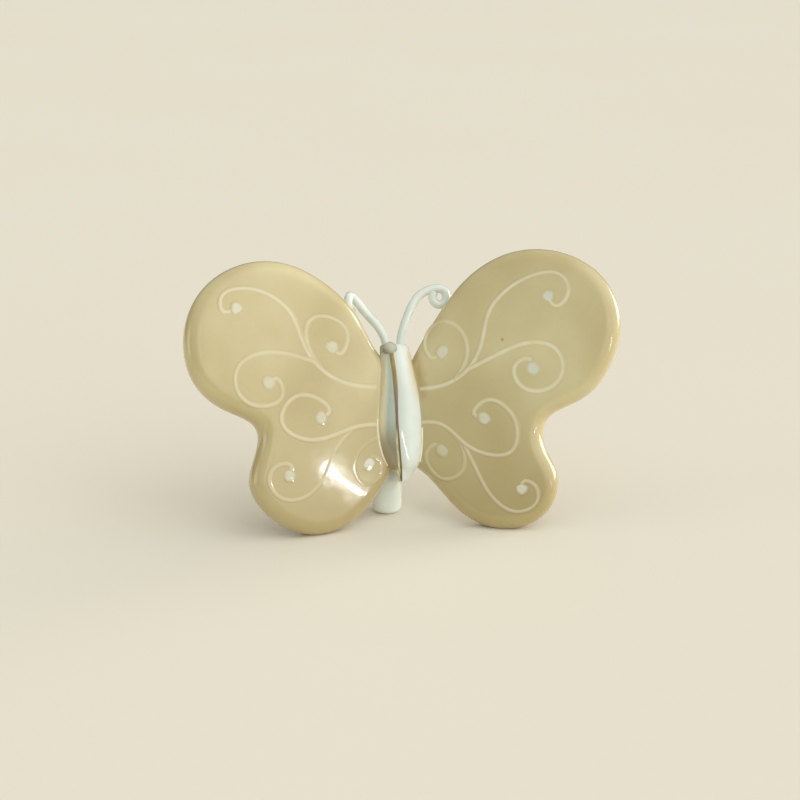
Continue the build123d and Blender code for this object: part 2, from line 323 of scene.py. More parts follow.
def skin_group():
    """Height in metres for a bump, and a roughness that handling has varied."""
    tree, given, put = new_tree(
        "glaze skin",
        "ShaderNodeTree",
        [
            ("Wave Height", "NodeSocketFloat", 0.00004),
            ("Wave Size", "NodeSocketFloat", 220.0),
            ("Roughness", "NodeSocketFloat", 0.1),
            ("Scuffs", "NodeSocketFloat", 0.12),
        ],
        [("Height", "NodeSocketFloat"), ("Roughness", "NodeSocketFloat"), ("Pinholes", "NodeSocketFloat")],
    )
    where = add_node(tree, "ShaderNodeTexCoord").outputs["Object"]
    waves = add_node(tree, "ShaderNodeTexNoise", Vector=where, Scale=given["Wave Size"], Detail=1.0)
    pinholes = rare_spots(tree, where, 150.0, "Red", 0.9)
    scuffs = add_node(
        tree, "ShaderNodeTexNoise", Vector=where, Scale=130.0, Detail=6.0, Roughness=0.7, Distortion=1.5
    )
    worn = ranged(tree, scuffs.outputs["Fac"], 0.52, 0.75)
    height = sums(tree, "MULTIPLY", waves.outputs["Fac"], given["Wave Height"])
    dips = sums(tree, "MULTIPLY", pinholes, pinhole_depth)
    feed(tree, put["Height"], sums(tree, "SUBTRACT", height, dips))
    rough = sums(tree, "MULTIPLY", worn, given["Scuffs"])
    feed(tree, put["Roughness"], sums(tree, "ADD", given["Roughness"], rough))
    feed(tree, put["Pinholes"], pinholes)
    return tree


glaze_skin = skin_group()

# %% [markdown]
# ## A glaze material
# Each glaze is a Principled shader with a thin clear coat. These helpers make the material, place
# a group, read what a mesh stores and feed the shader, so the materials below only differ in their
# colours and masks.

# %% Helper for glaze materials


def use_group(tree, group, **inputs):
    """Places a shader group and feeds its inputs by name."""
    return add_node(tree, "ShaderNodeGroup", {"node_tree": group}, **inputs)


def attribute(tree, name):
    """The number that a mesh stores under a name."""
    return add_node(tree, "ShaderNodeAttribute", {"attribute_name": name}).outputs["Fac"]


def new_material(name):
    """A material with its Principled shader ready to be fed."""
    material = bpy.data.materials.new(name)
    material.use_nodes = True
    tree = material.node_tree
    return material, tree, tree.nodes["Principled BSDF"]


def wear_skin(tree, shader, **strengths):
    """Gives a shader the roughness and the shallow waves of a glaze's skin, and returns the group."""
    skin = use_group(tree, glaze_skin, **strengths)
    feed(tree, shader.inputs["Roughness"], skin.outputs["Roughness"])
    bump = add_node(tree, "ShaderNodeBump", Height=skin.outputs["Height"], Distance=1.0, Strength=1.0)
    feed(tree, shader.inputs["Normal"], bump.outputs["Normal"])
    return skin


def finish_glaze(tree, shader, colour, coat=0.6):
    """Feeds a Principled shader with a glaze's colour and lays the clear coat over it."""
    feed(tree, shader.inputs["Base Color"], colour)
    shader.inputs["IOR"].default_value = 1.5
    shader.inputs["Coat Weight"].default_value = coat
    shader.inputs["Coat Roughness"].default_value = 0.03


# %% [markdown]
# ## Beige wing glaze
# The wings are dipped in a sandy beige glaze. A paler beige is painted along the rolled rim as a
# painted highlight. It runs paler within a millimetre of the body, where the white glaze runs into it,
# and it has fired brown along the upper right seam. A deeper beige is painted low on the hindwings,
# towards the floor, as painted shade. A few iron specks have come through. The wing meshes store how
# near each point is to the rim and the body, because only the piece itself knows that.

# %% Beige glaze
wing_pale, wing_deep = paint(214, 200, 152), paint(192, 173, 120)
# Painted shade: a deeper beige towards the floor, low on the hindwings.
wing_shade_deep = paint(180, 160, 108)
# Painted highlight: a paler beige along the rolled rim.
wing_rim_highlight = paint(226, 212, 164)
wing_white_root = paint(232, 224, 198)
wing_fired_brown = paint(178, 142, 84)
iron_brown = paint(110, 92, 66)
shade_from, shade_to = 0.030, 0.006
wing_skin = {"Wave_Height": 0.00003, "Roughness": 0.09, "Scuffs": 0.10}


def wing_colour(tree):
    """The beige of the wings with its painted rim highlight, its painted shade low down, its fade to white at
    the root and its specks.
    """
    drift = use_group(tree, glaze_drift, Pale=wing_pale, Deep=wing_deep, Broad_Size=42.0)
    where = add_node(tree, "ShaderNodeTexCoord").outputs["Object"]
    level = add_node(tree, "ShaderNodeSeparateXYZ", Vector=where).outputs["Z"]
    # Painted shade: the beige deepens from three centimetres up down to the floor.
    floor_shade = ranged(tree, level, shade_from, shade_to, to=(0.0, 0.75))
    shade_mix = mix_colours(tree, floor_shade, drift.outputs["Color"], wing_shade_deep)
    # Painted highlight: the beige turns paler within 2.6 mm of the rim.
    rim = ranged(tree, attribute(tree, "inset"), 2.6, 0.0, to=(0.0, 0.15))
    toned = mix_colours(tree, rim, shade_mix, wing_rim_highlight)
    fade = ranged(tree, attribute(tree, "from_body"), 1.1, -0.2, "SMOOTHSTEP")
    rooted = mix_colours(tree, fade, toned, wing_white_root)
    stained = sums(tree, "MULTIPLY", attribute(tree, "stain"), 0.6)
    browned = mix_colours(tree, stained, rooted, wing_fired_brown)
    specks = sums(tree, "MULTIPLY", rare_spots(tree, where, 95.0, "Green", 0.94), 0.45)
    return mix_colours(tree, specks, browned, iron_brown)


def beige_glaze():
    """The wings' material."""
    material, tree, shader = new_material("beige glaze")
    wear_skin(tree, shader, **wing_skin)
    finish_glaze(tree, shader, wing_colour(tree))
    return material


wing_glaze = beige_glaze()

# %% [markdown]
# ## Cream slip under the glaze
# The curls and dots are slip trailed on before glazing, so they sink a little into the beige and
# their edges blur. The strips below store a number that is 0 at their edges and 1 in the middle,
# and the material turns from beige to cream by it. A noise along the line makes the cream fade
# in places, as slip does where the trailer ran thin. The dots hold more slip, so theirs is whiter
# and its edge is crisper.

# %% Cream slip


def soft_slip(name, pale, deep, soft_from, soft_to):
    """Slip of two tones that melts into the wings' beige as its stored core number falls."""
    material, tree, shader = new_material(name)
    where = add_node(tree, "ShaderNodeTexCoord").outputs["Object"]
    thin = add_node(tree, "ShaderNodeTexNoise", Vector=where, Scale=170.0, Detail=2.0)
    patchy = ranged(tree, thin.outputs["Fac"], 0.3, 0.6, to=(0.7, 1.0))
    core = ranged(tree, attribute(tree, "core"), soft_from, soft_to, "SMOOTHSTEP")
    mask = sums(tree, "MULTIPLY", sums(tree, "MULTIPLY", core, patchy), attribute(tree, "cover"))
    slip = use_group(tree, glaze_drift, Pale=pale, Deep=deep, Broad_Size=160.0)
    colour = mix_colours(tree, mask, wing_colour(tree), slip.outputs["Color"])
    wear_skin(tree, shader, **wing_skin)
    finish_glaze(tree, shader, colour)
    return material


slip_glaze = soft_slip("cream slip", paint(236, 230, 200), paint(226, 217, 182), 0.0, 0.85)
dot_glaze = soft_slip("white slip", paint(226, 226, 208), paint(214, 216, 196), 0.02, 0.5)

# %% [markdown]
# ## White glaze
# The body, head, antennae and foot are white porcelain glaze. Its tone drifts a little between two
# faintly green whites, which is what keeps white glaze from looking like plastic. On the body the
# beige of the left wing has run onto the left facet, painted lighter than the wing's own beige as
# painted light against the shade of the flank. A cool grey is painted shade and reflection on the
# left facet and beside the ridge, and a brown is painted shade low down on the left and at the top
# left. The body stores how much of each every point has, the head bead stores its brown shade, and
# the other white pieces store nothing there, which reads as none.

# %% White glaze
# Painted shade: a cool grey for the left facet and beside the ridge.
painted_grey = paint(172, 182, 164)
# The beige that ran onto the body is real, but it is painted lighter than the wing's beige as painted light
# against the shade of the flank.
beige_run_painted_light = paint(226, 208, 160)
# Painted shade: a brown for the low left facet, its top left and the head bead's lower left.
painted_brown = paint(150, 134, 100)
pinhole_grey = paint(150, 140, 118)


def white_glaze(name, pale, deep):
    """A white of two tones, with the beige, the painted grey shade and the painted brown shade that a piece
    may store.
    """
    material, tree, shader = new_material(name)
    drift = use_group(tree, glaze_drift, Pale=pale, Deep=deep, Broad_Size=120.0, Fine_Share=0.12)
    skin = wear_skin(tree, shader, Wave_Height=0.00004, Roughness=0.07, Scuffs=0.08)
    specks = sums(tree, "MULTIPLY", skin.outputs["Pinholes"], 0.6)
    # Painted shade and reflection: the stored grey is mixed in here.
    shade_mix = mix_colours(tree, attribute(tree, "shade_mix"), drift.outputs["Color"], painted_grey)
    # Painted light: the run-in beige is lighter than the wing's own.
    run_in = mix_colours(tree, attribute(tree, "beige"), shade_mix, beige_run_painted_light)
    # Painted shade: the stored brown is mixed in here.
    browned = mix_colours(tree, attribute(tree, "brown_shading"), run_in, painted_brown)
    finish_glaze(tree, shader, mix_colours(tree, specks, browned, pinhole_grey), coat=0.8)
    return material


porcelain_white = white_glaze("white glaze", paint(238, 243, 234), paint(224, 231, 220))
bead_white = white_glaze("grey white glaze", paint(198, 198, 176), paint(172, 168, 142))

# %% [markdown]
# ## Gilding
# The ridge and the seams carry brushed-on liquid gold. Fired gold is thin: the brush leaves
# streaks, and handling rubs it down to a brown shadow. The material is metal where the gold is
# whole and stained glaze where it has gone. The stroke stores how far along it each point lies,
# how whole its gold is and how near its edge, so the stain can run from brown to ochre and its
# edges can sink into the white.

# %% Worn gold
white_beside_gold = paint(216, 214, 196)


def worn_gold(name, gold_tones, stains, roughness):
    """Fired gold over a stain of three colours, from the stroke's start to its end."""
    material, tree, shader = new_material(name)
    where = add_node(tree, "ShaderNodeTexCoord").outputs["Object"]
    long_way = add_node(tree, "ShaderNodeMapping", Vector=where, Scale=(1.0, 1.0, 0.25))
    streaks = add_node(
        tree, "ShaderNodeTexNoise", Vector=long_way.outputs["Vector"], Scale=900.0, Detail=4.0
    )
    kept = ranged(tree, streaks.outputs["Fac"], 0.36, 0.52)
    whole = sums(tree, "MULTIPLY", kept, attribute(tree, "gold"), clamp=True)
    low = ranged(tree, attribute(tree, "stroke"), 0.25, 0.45)
    high = ranged(tree, attribute(tree, "stroke"), 0.6, 0.8)
    stain = mix_colours(tree, low, stains[0], stains[1])
    stain = mix_colours(tree, high, stain, stains[2])
    gold = use_group(tree, glaze_drift, Pale=gold_tones[0], Deep=gold_tones[1], Broad_Size=400.0)
    colour = mix_colours(tree, whole, stain, gold.outputs["Color"])
    faded = ranged(tree, attribute(tree, "core"), 0.3, 0.0)
    sunk = sums(tree, "MULTIPLY", faded, sums(tree, "SUBTRACT", 1.0, whole), clamp=True)
    feed(tree, shader.inputs["Base Color"], mix_colours(tree, sunk, colour, white_beside_gold))
    feed(tree, shader.inputs["Metallic"], whole)
    wear_skin(tree, shader, Wave_Height=0.00003, Roughness=roughness, Scuffs=0.2)
    return material


ridge_tones = (paint(255, 250, 205), paint(255, 238, 168))
ridge_stains = (paint(100, 80, 48), paint(120, 98, 82), paint(150, 124, 62))
gilding = worn_gold("worn gold", ridge_tones, ridge_stains, 0.38)
seam_tones = (paint(255, 246, 214), paint(250, 232, 184))
# Painted highlight: the seams' stain is a near-white cream, so where their gold is missing they show a
# painted highlight.
seam_gold_highlight = worn_gold("seam gold painted highlight", seam_tones, (paint(254, 248, 216),) * 3, 0.34)

# %% [markdown]
# ## The body's run of sections
# The body is described by a few stations along its length: how far its left edge, right edge and
# ridge stand from the middle, and how full it is. They come before the wings, because the wings'
# glaze changes beside the body and has to know where its edges run.

# %% The body's stations
body_length = 32.0
body_half_width = 5.2
body_crown = 6.8
body_edge = 4.0
body_back = 2.6
back_width_share = 0.70
facet_bulge = 0.4
flank_bulge = 0.25
body_top = 0.475
body_end = -0.520
body_stations = (
    (body_top, 0.85, 0.42, -0.42, 0.62),
    (0.410, 0.86, 0.50, -0.40, 0.76),
    (0.280, 0.91, 0.62, -0.33, 0.92),
    (0.090, 1.04, 0.81, -0.29, 1.00),
    (-0.125, 1.14, 0.88, -0.29, 1.00),
    (-0.310, 0.95, 0.80, -0.25, 0.93),
    (-0.430, 0.44, 0.50, -0.19, 0.76),
    (body_end, 0.15, 0.17, -0.12, 0.40),
)


def station_at(along):
    """The body's left, right, ridge and crown shares at a share of its length."""
    fine = smooth_line(np.array(body_stations)[::-1], 400)
    return [float(np.interp(along, fine[:, 0], fine[:, column])) for column in range(1, 5)]


print("left, right, ridge and crown at mid body:", [round(value, 2) for value in station_at(0.0)])

# %% [markdown]
# ## The wings
# Each wing is one smooth tile: flat behind, gently crowned in front, with a rolled rim that turns
# over a broad round to the back. It could be pushed about with subdivision, but the shape follows a
# rule. So the script triangulates the flat outline with extra rings near the rim, stores how far
# each point lies from the rim, and a Geometry Nodes tree raises the front and the back by that
# distance.

# %% Wing outlines
wing_reach = 51.0
wing_height = 62.0

sides = {"left": -1, "right": 1}
outline_shares = {
    -1: (
        (0.047, 0.165), (0.100, 0.218), (0.198, 0.361), (0.343, 0.477), (0.535, 0.548), (0.745, 0.535),
        (0.915, 0.439), (0.994, 0.284), (0.963, 0.124), (0.814, 0.011), (0.675, -0.062), (0.690, -0.155),
        (0.718, -0.253), (0.608, -0.389), (0.412, -0.445), (0.210, -0.378), (0.076, -0.247), (0.047, -0.213),
    ),
    1: (
        (0.047, 0.165), (0.090, 0.225), (0.190, 0.348), (0.333, 0.482), (0.525, 0.563), (0.739, 0.558),
        (0.924, 0.465), (1.006, 0.305), (0.957, 0.135), (0.812, 0.008), (0.655, -0.065), (0.648, -0.158),
        (0.694, -0.252), (0.655, -0.382), (0.433, -0.450), (0.243, -0.371), (0.104, -0.239), (0.047, -0.200),
    ),
}


def on_wing(side, share):
    """A point of a wing's flat drawing, in millimetres, from its shares."""
    return (side * share[0] * wing_reach, share[1] * wing_height)


# %% A flat sheet with rings near its rim
rim_round = 3.6
back_round = 1.5
rim_fullness = 2.4
rim_rings = 9
inner_step = 1.3
outline_points = 220
root_points = 26


def distance_to_line(places, line):
    """How far each place lies from a closed line of points."""
    start, run = line, np.roll(line, -1, axis=0) - line
    offset = places[:, None] - start[None]
    share = np.clip((offset * run).sum(2) / (run * run).sum(1), 0, 1)
    return np.linalg.norm(offset - share[..., None] * run, axis=2).min(axis=1)


def inside_line(places, line):
    """Whether each place lies inside a closed line of points."""
    x, y = places[:, 0, None], places[:, 1, None]
    ahead = np.roll(line, -1, axis=0)
    crosses = (line[:, 1] > y) != (ahead[:, 1] > y)
    with np.errstate(divide="ignore", invalid="ignore"):
        meet = (ahead[:, 0] - line[:, 0]) * (y - line[:, 1]) / (ahead[:, 1] - line[:, 1]) + line[:, 0]
    return (crosses & (x < meet)).sum(axis=1) % 2 == 1


def closed_outline(side):
    """A wing's whole outline as a closed line of points, with its straight root."""
    shape = smooth_line([on_wing(side, share) for share in outline_shares[side]], outline_points)
    root = np.linspace(shape[-1], shape[0], root_points + 2)[1:-1]
    return np.concatenate((shape, root))


def even_grid(line):
    """Points of an even triangular grid that lie inside a closed line and clear of its rings."""
    low, high = line.min(axis=0), line.max(axis=0)
    columns = np.arange(low[0], high[0], inner_step)
    rows = np.arange(low[1], high[1], inner_step * sqrt(3) / 2)
    grid = np.array([(x + (i % 2) * inner_step / 2, y) for i, y in enumerate(rows) for x in columns])
    grid = grid[inside_line(grid, line)]
    return grid[distance_to_line(grid, line) > rim_round + inner_step * 0.6]


def flat_sheet(name, side):
    """The wing's outline as a flat mesh in millimetres that stores its inset from the rim."""
    line = closed_outline(side)
    run = np.roll(line, -1, axis=0) - np.roll(line, 1, axis=0)
    inward = np.stack((run[:, 1], -run[:, 0]), axis=1) / np.linalg.norm(run, axis=1)[:, None] * side
    points = [line]
    for ring in range(1, rim_rings + 1):
        depth = rim_round * (1 - cos(ring / rim_rings * pi / 2))
        moved = line + inward * depth
        keep = (distance_to_line(moved, line) > depth * 0.97) & inside_line(moved, line)
        points.append(moved[keep])
    flat = np.concatenate((*points, even_grid(line)))
    edge = [(i, (i + 1) % len(line)) for i in range(len(line))]
    places, _, faces, *_ = delaunay_2d_cdt([Vector(point) for point in flat], edge, [], 1, 1e-5)
    mesh = bpy.data.meshes.new(name)
    mesh.from_pydata([(*place, 0) for place in places], [], faces)
    where = np.array([place[:] for place in places])
    inset = distance_to_line(where, line)
    inset[inset < 0.001] = 0
    store(mesh, "inset", inset)
    sheet = bpy.data.objects.new(name, mesh)
    scene.collection.objects.link(sheet)
    return sheet


def store(mesh, name, values):
    """Stores one number for each point of a mesh."""
    layer = mesh.attributes.get(name) or mesh.attributes.new(name, "FLOAT", "POINT")
    layer.data.foreach_set("value", np.asarray(values, np.float32))


def blend(low, high, values):
    """A soft step from 0 at low to 1 at high."""
    share = np.clip((np.asarray(values, float) - low) / (high - low), 0, 1)
    return share * share * (3 - 2 * share)


def drawn_places(mesh, side):
    """Where a finished mesh's points lie in the wing's drawing, in millimetres."""
    to_drawing = wing_to_world(side).inverted()
    return np.array([to_drawing @ point.co for point in mesh.vertices])


def mark_wing(mesh, side):
    """Stores each point's inset from the wing's rim, its way from the body and the brown stain there."""
    drawn = drawn_places(mesh, side)
    along = np.clip(drawn[:, 1] / body_length, body_end, body_top)
    shares = np.linspace(body_end, body_top, 60)
    edges = [station_at(share)[0 if side < 0 else 1] for share in shares]
    edge = np.interp(along, shares, edges) * body_half_width
    from_body = np.abs(drawn[:, 0]) * cos(wing_dihedral) - edge
    store(mesh, "inset", distance_to_line(drawn[:, :2], closed_outline(side)))
    store(mesh, "from_body", from_body)
    band = blend(0.4, 1.4, from_body) * blend(3.2, 1.7, from_body)
    in_front = blend(-0.6, 0.2, drawn[:, 2])
    store(mesh, "stain", band * blend(0.02, 0.14, along) * in_front * (side > 0))


# %% [markdown]
# The tree below is the wing's rule. The crown is the cap of a large ball, and the rim turns over in
# a quarter of an oval that is a little fuller than an ellipse, so that no line shows where it
# starts. The two faces meet at one level, so that merging by distance closes the shell. The mesh
# stays even; the slight wander of hand-finished clay is left to the glaze's bump, which costs no
# geometry.

# %% Geometry tree: from flat sheet to crowned wing


def crowned_wing_tree():
    """Raises a flat sheet into a wing by each point's distance from the rim."""
    tree, given, put = new_tree(
        "crowned wing",
        "GeometryNodeTree",
        [
            ("Sheet", "NodeSocketGeometry", None),
            ("Rim", "NodeSocketFloat", 4.4),
            ("Crown", "NodeSocketFloat", 1.2),
            ("Crown Ball", "NodeSocketFloat", 401.0),
            ("Centre X", "NodeSocketFloat", 0.0),
            ("Centre Y", "NodeSocketFloat", 0.0),
            ("Front Round", "NodeSocketFloat", 3.6),
            ("Back Round", "NodeSocketFloat", 1.5),
            ("Fullness", "NodeSocketFloat", 2.4),
            ("Material", "NodeSocketMaterial", None),
        ],
        [("Wing", "NodeSocketGeometry")],
    )
    place = add_node(tree, "GeometryNodeInputPosition").outputs[0]
    flat = add_node(tree, "ShaderNodeSeparateXYZ", Vector=place).outputs
    across = sums(tree, "POWER", sums(tree, "SUBTRACT", flat["X"], given["Centre X"]), 2.0)
    along = sums(tree, "POWER", sums(tree, "SUBTRACT", flat["Y"], given["Centre Y"]), 2.0)
    ball_square = sums(tree, "POWER", given["Crown Ball"], 2.0)
    rise = sums(tree, "SQRT", sums(tree, "SUBTRACT", ball_square, sums(tree, "ADD", across, along)))
    half_rim = sums(tree, "MULTIPLY", given["Rim"], 0.5)
    top = sums(tree, "SUBTRACT", sums(tree, "ADD", half_rim, given["Crown"]), given["Crown Ball"])
    inset_node = add_node(tree, "GeometryNodeInputNamedAttribute", {"data_type": "FLOAT"}, Name="inset")
    inset = inset_node.outputs["Attribute"]
    front_face = sums(tree, "ADD", top, rise)
    back_face = sums(tree, "MULTIPLY", half_rim, -1.0)
    seam = sums(tree, "ADD", back_face, given["Back Round"])
    faces = []
    for level, round_over in ((front_face, given["Front Round"]), (back_face, given["Back Round"])):
        out = sums(tree, "SUBTRACT", 1.0, sums(tree, "DIVIDE", inset, round_over), clamp=True)
        fall = sums(tree, "SUBTRACT", 1.0, sums(tree, "POWER", out, given["Fullness"]))
        turn = sums(tree, "POWER", fall, sums(tree, "DIVIDE", 1.0, given["Fullness"]))
        height = sums(tree, "MULTIPLY_ADD", sums(tree, "SUBTRACT", level, seam), turn, seam)
        raised = add_node(tree, "ShaderNodeCombineXYZ", X=flat["X"], Y=flat["Y"], Z=height).outputs[0]
        faces.append(add_node(tree, "GeometryNodeSetPosition", Geometry=given["Sheet"], Position=raised))
    turned = add_node(tree, "GeometryNodeFlipFaces", Mesh=faces[1].outputs[0])
    joined = add_node(tree, "GeometryNodeJoinGeometry")
    tree.links.new(faces[0].outputs[0], joined.inputs[0])
    tree.links.new(turned.outputs[0], joined.inputs[0])
    closed = add_node(tree, "GeometryNodeMergeByDistance", Geometry=joined.outputs[0], Distance=0.0005)
    finish_shape(tree, closed.outputs[0], given, put["Wing"])
    return tree


crowned_wing = crowned_wing_tree()

# %% [markdown]
# A thrown or pressed piece is rubbed flat where it stands. Each hindwing is cut at floor level and
# the cut filled, so that the butterfly rests on two small lands and no rim dips below the floor.

# %% Flat lands to stand on


def stand_flat(mesh):
    """Cuts a mesh off at floor level and closes it with a flat face."""
    shape = bmesh.new()
    shape.from_mesh(mesh)
    made = bmesh.ops.bisect_plane(
        shape,
        geom=shape.verts[:] + shape.edges[:] + shape.faces[:],
        plane_co=(0, 0, 0),
        plane_no=(0, 0, -1),
        clear_outer=True,
    )
    rim = [item for item in made["geom_cut"] if isinstance(item, bmesh.types.BMEdge)]
    land = bmesh.ops.holes_fill(shape, edges=rim, sides=0)["faces"]
    bmesh.ops.triangulate(shape, faces=land)
    for edge in rim:
        edge.smooth = False
    shape.to_mesh(mesh)
    shape.free()


# %% Make the two wings
wing_rim = 4.4
wing_crown = 1.2
crown_ball = ((wing_height / 2) ** 2 + wing_crown**2) / (2 * wing_crown)
wing_centre = (0.50, 0.05)

for word, side in sides.items():
    sheet = flat_sheet(word + " wing sheet", side)
    centre = on_wing(side, wing_centre)
    values = {
        "Rim": wing_rim,
        "Crown": wing_crown,
        "Crown Ball": crown_ball,
        "Centre X": centre[0],
        "Centre Y": centre[1],
        "Front Round": rim_round,
        "Back Round": back_round,
        "Fullness": rim_fullness,
        "Material": wing_glaze,
    }
    wing = run_tree(word + "_wing_glazed", sheet, crowned_wing, values, wing_to_world(side))
    stand_flat(wing.data)
    mark_wing(wing.data, side)
    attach(wing, "root")
    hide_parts(word + "_wing")

# %% [markdown]
# ## The slip curls
# Each curl is a line of slip squeezed from a small nozzle: thin and almost flat under the glaze, a
# little wider in the middle than at its ends. That is a profile swept along a path, so it is made
# with Geometry Nodes. A lens profile meets the wing at a shallow angle and casts no edge. The lines
# are drawn flat in the wing's frame and lifted onto its crown before the sweep, and the profile
# stores its middle for the soft-edged slip material.

# %% The slip lines, as drawn
curls = {
    "left_forewing": (
        ((0.060, 0.087), (0.253, 0.097), (0.384, 0.148), (0.469, 0.244), (0.520, 0.353), (0.604, 0.418),
         (0.749, 0.447), (0.837, 0.410), (0.831, 0.366), (0.767, 0.374)),
        ((0.425, 0.181), (0.553, 0.211), (0.678, 0.211), (0.773, 0.163), (0.776, 0.073), (0.669, 0.024),
         (0.575, 0.071), (0.604, 0.121), (0.637, 0.106)),
        ((0.384, 0.148), (0.453, 0.250), (0.435, 0.331), (0.327, 0.339), (0.259, 0.268), (0.306, 0.210),
         (0.338, 0.233)),
    ),
    "left_hindwing": (
        ((0.080, -0.053), (0.224, -0.055), (0.357, -0.089), (0.498, -0.094), (0.584, -0.034), (0.547, 0.040),
         (0.435, 0.055), (0.363, -0.002), (0.402, -0.023)),
        ((0.255, -0.062), (0.341, -0.140), (0.402, -0.240), (0.484, -0.303), (0.600, -0.303), (0.647, -0.234),
         (0.590, -0.185), (0.549, -0.190), (0.555, -0.226)),
        ((0.080, -0.075), (0.150, -0.100), (0.233, -0.150), (0.251, -0.220), (0.200, -0.262), (0.130, -0.235),
         (0.118, -0.195), (0.160, -0.165), (0.182, -0.190)),
    ),
    "right_forewing": (
        ((0.060, 0.074), (0.239, 0.092), (0.337, 0.147), (0.396, 0.244), (0.431, 0.345), (0.504, 0.415),
         (0.641, 0.471), (0.751, 0.466), (0.782, 0.390), (0.724, 0.353), (0.694, 0.387)),
        ((0.320, 0.135), (0.469, 0.189), (0.606, 0.223), (0.716, 0.197), (0.745, 0.111), (0.663, 0.048),
         (0.553, 0.074), (0.543, 0.148), (0.600, 0.163), (0.616, 0.128)),
        ((0.263, 0.098), (0.325, 0.190), (0.298, 0.284), (0.227, 0.318), (0.160, 0.290), (0.139, 0.232),
         (0.167, 0.187), (0.215, 0.205)),
    ),
    "right_hindwing": (
        ((0.070, -0.050), (0.196, -0.058), (0.286, -0.123), (0.384, -0.171), (0.504, -0.168), (0.535, -0.085),
         (0.482, -0.003), (0.394, 0.019), (0.345, -0.026), (0.390, -0.044)),
        ((0.286, -0.123), (0.337, -0.213), (0.406, -0.326), (0.520, -0.387), (0.604, -0.355), (0.602, -0.297),
         (0.551, -0.279), (0.541, -0.305)),
        ((0.215, -0.070), (0.275, -0.123), (0.294, -0.174), (0.282, -0.229), (0.200, -0.256), (0.137, -0.210),
         (0.125, -0.160), (0.169, -0.131), (0.196, -0.152)),
    ),
}


def on_front(side, flat):
    """Flat points lifted onto a wing's front, crown and rim alike, in millimetres."""
    flat = np.asarray(flat, float)
    away = ((flat - on_wing(side, wing_centre)) ** 2).sum(axis=1)
    level = wing_rim / 2 + wing_crown - crown_ball + np.sqrt(crown_ball**2 - away)
    inset = distance_to_line(flat, closed_outline(side))
    out = np.clip(1 - inset / rim_round, 0, 1)
    seam = back_round - wing_rim / 2
    height = seam + (level - seam) * (1 - out**rim_fullness) ** (1 / rim_fullness)
    return [(x, y, z) for (x, y), z in zip(flat, height)]


# %% Geometry tree: a trailed line of slip


def slip_trail_tree():
    """Sweeps a flat lens-shaped profile along each line."""
    tree, given, put = new_tree(
        "slip trail",
        "GeometryNodeTree",
        [
            ("Lines", "NodeSocketGeometry", None),
            ("Width", "NodeSocketFloat", 1.1),
            ("Height", "NodeSocketFloat", 0.18),
            ("Taper", "NodeSocketFloat", 0.3),
            ("Material", "NodeSocketMaterial", None),
        ],
        [("Trails", "NodeSocketGeometry")],
    )
    profile = add_node(
        tree, "GeometryNodeCurvePrimitiveCircle", {"mode": "RADIUS"}, Resolution=16, Radius=1.0
    )
    spot = add_node(tree, "GeometryNodeInputPosition").outputs[0]
    axes = add_node(tree, "ShaderNodeSeparateXYZ", Vector=spot).outputs
    edge = sums(tree, "ABSOLUTE", axes["X"])
    core = sums(tree, "SUBTRACT", 1.0, edge)
    marked = add_node(
        tree, "GeometryNodeStoreNamedAttribute", {"data_type": "FLOAT", "domain": "POINT"},
        Geometry=profile.outputs[0], Name="core", Value=core,
    )
    half = sums(tree, "MULTIPLY", given["Width"], 0.5)
    arc = sums(tree, "MULTIPLY", axes["Y"], sums(tree, "ABSOLUTE", axes["Y"]))
    lens = add_node(
        tree, "ShaderNodeCombineXYZ", X=sums(tree, "MULTIPLY", axes["X"], half),
        Y=sums(tree, "MULTIPLY", arc, given["Height"]),
    )
    shaped = add_node(tree, "GeometryNodeSetPosition", Geometry=marked.outputs[0], Position=lens.outputs[0])
    along = add_node(tree, "GeometryNodeSplineParameter").outputs["Factor"]
    middle = sums(tree, "SUBTRACT", 1.0, sums(tree, "ABSOLUTE", sums(tree, "MULTIPLY_ADD", along, 2.0, -1.0)))
    full = ranged(tree, middle, 0.0, 0.12)
    thin = sums(tree, "SUBTRACT", 1.0, given["Taper"])
    size = sums(tree, "MULTIPLY_ADD", full, given["Taper"], thin)
    wobble = add_node(tree, "ShaderNodeTexNoise", Scale=0.45, Detail=1.0)
    feed(tree, wobble.inputs["Vector"], add_node(tree, "GeometryNodeInputPosition").outputs[0])
    size = sums(tree, "MULTIPLY", size, sums(tree, "MULTIPLY_ADD", wobble.outputs["Fac"], 0.5, 0.75))
    upright = add_node(tree, "GeometryNodeSetCurveNormal", {"mode": "Z_UP"}, Curve=given["Lines"])
    sized = add_node(tree, "GeometryNodeSetCurveRadius", Curve=upright.outputs[0], Radius=size)
    swept = add_node(
        tree, "GeometryNodeCurveToMesh", Curve=sized.outputs[0], Profile_Curve=shaped.outputs[0]
    )
    swept.inputs["Fill Caps"].default_value = True
    finish_shape(tree, swept.outputs[0], given, put["Trails"])
    return tree


slip_trail = slip_trail_tree()

# %% Make the trailed lines
slip_width = 1.35
slip_rise = 0.015
root_clear = {-1: 6.3, 1: 5.0}
slip_cover = {
    "left_forewing": (0.66, 0.48, 0.55),
    "left_hindwing": (0.58, 0.36, 0.12),
    "right_forewing": (0.75, 0.75, 0.5),
    "right_hindwing": (0.62, 0.55, 0.32),
}


def side_of(name):
    """The side, -1 or 1, that a name starts with."""
    return sides[name.split("_")[0]]


def cover_of(mesh, side, lines, covers):
    """How well the slip of each point's nearest line or dot covers the glaze."""
    places = drawn_places(mesh, side)[:, :2]
    away = []
    for line in lines:
        drawn = np.array(line)[:, :2]
        away.append(np.linalg.norm(places[:, None] - drawn[None], axis=2).min(axis=1))
    return np.array(covers)[np.argmin(away, axis=0)]


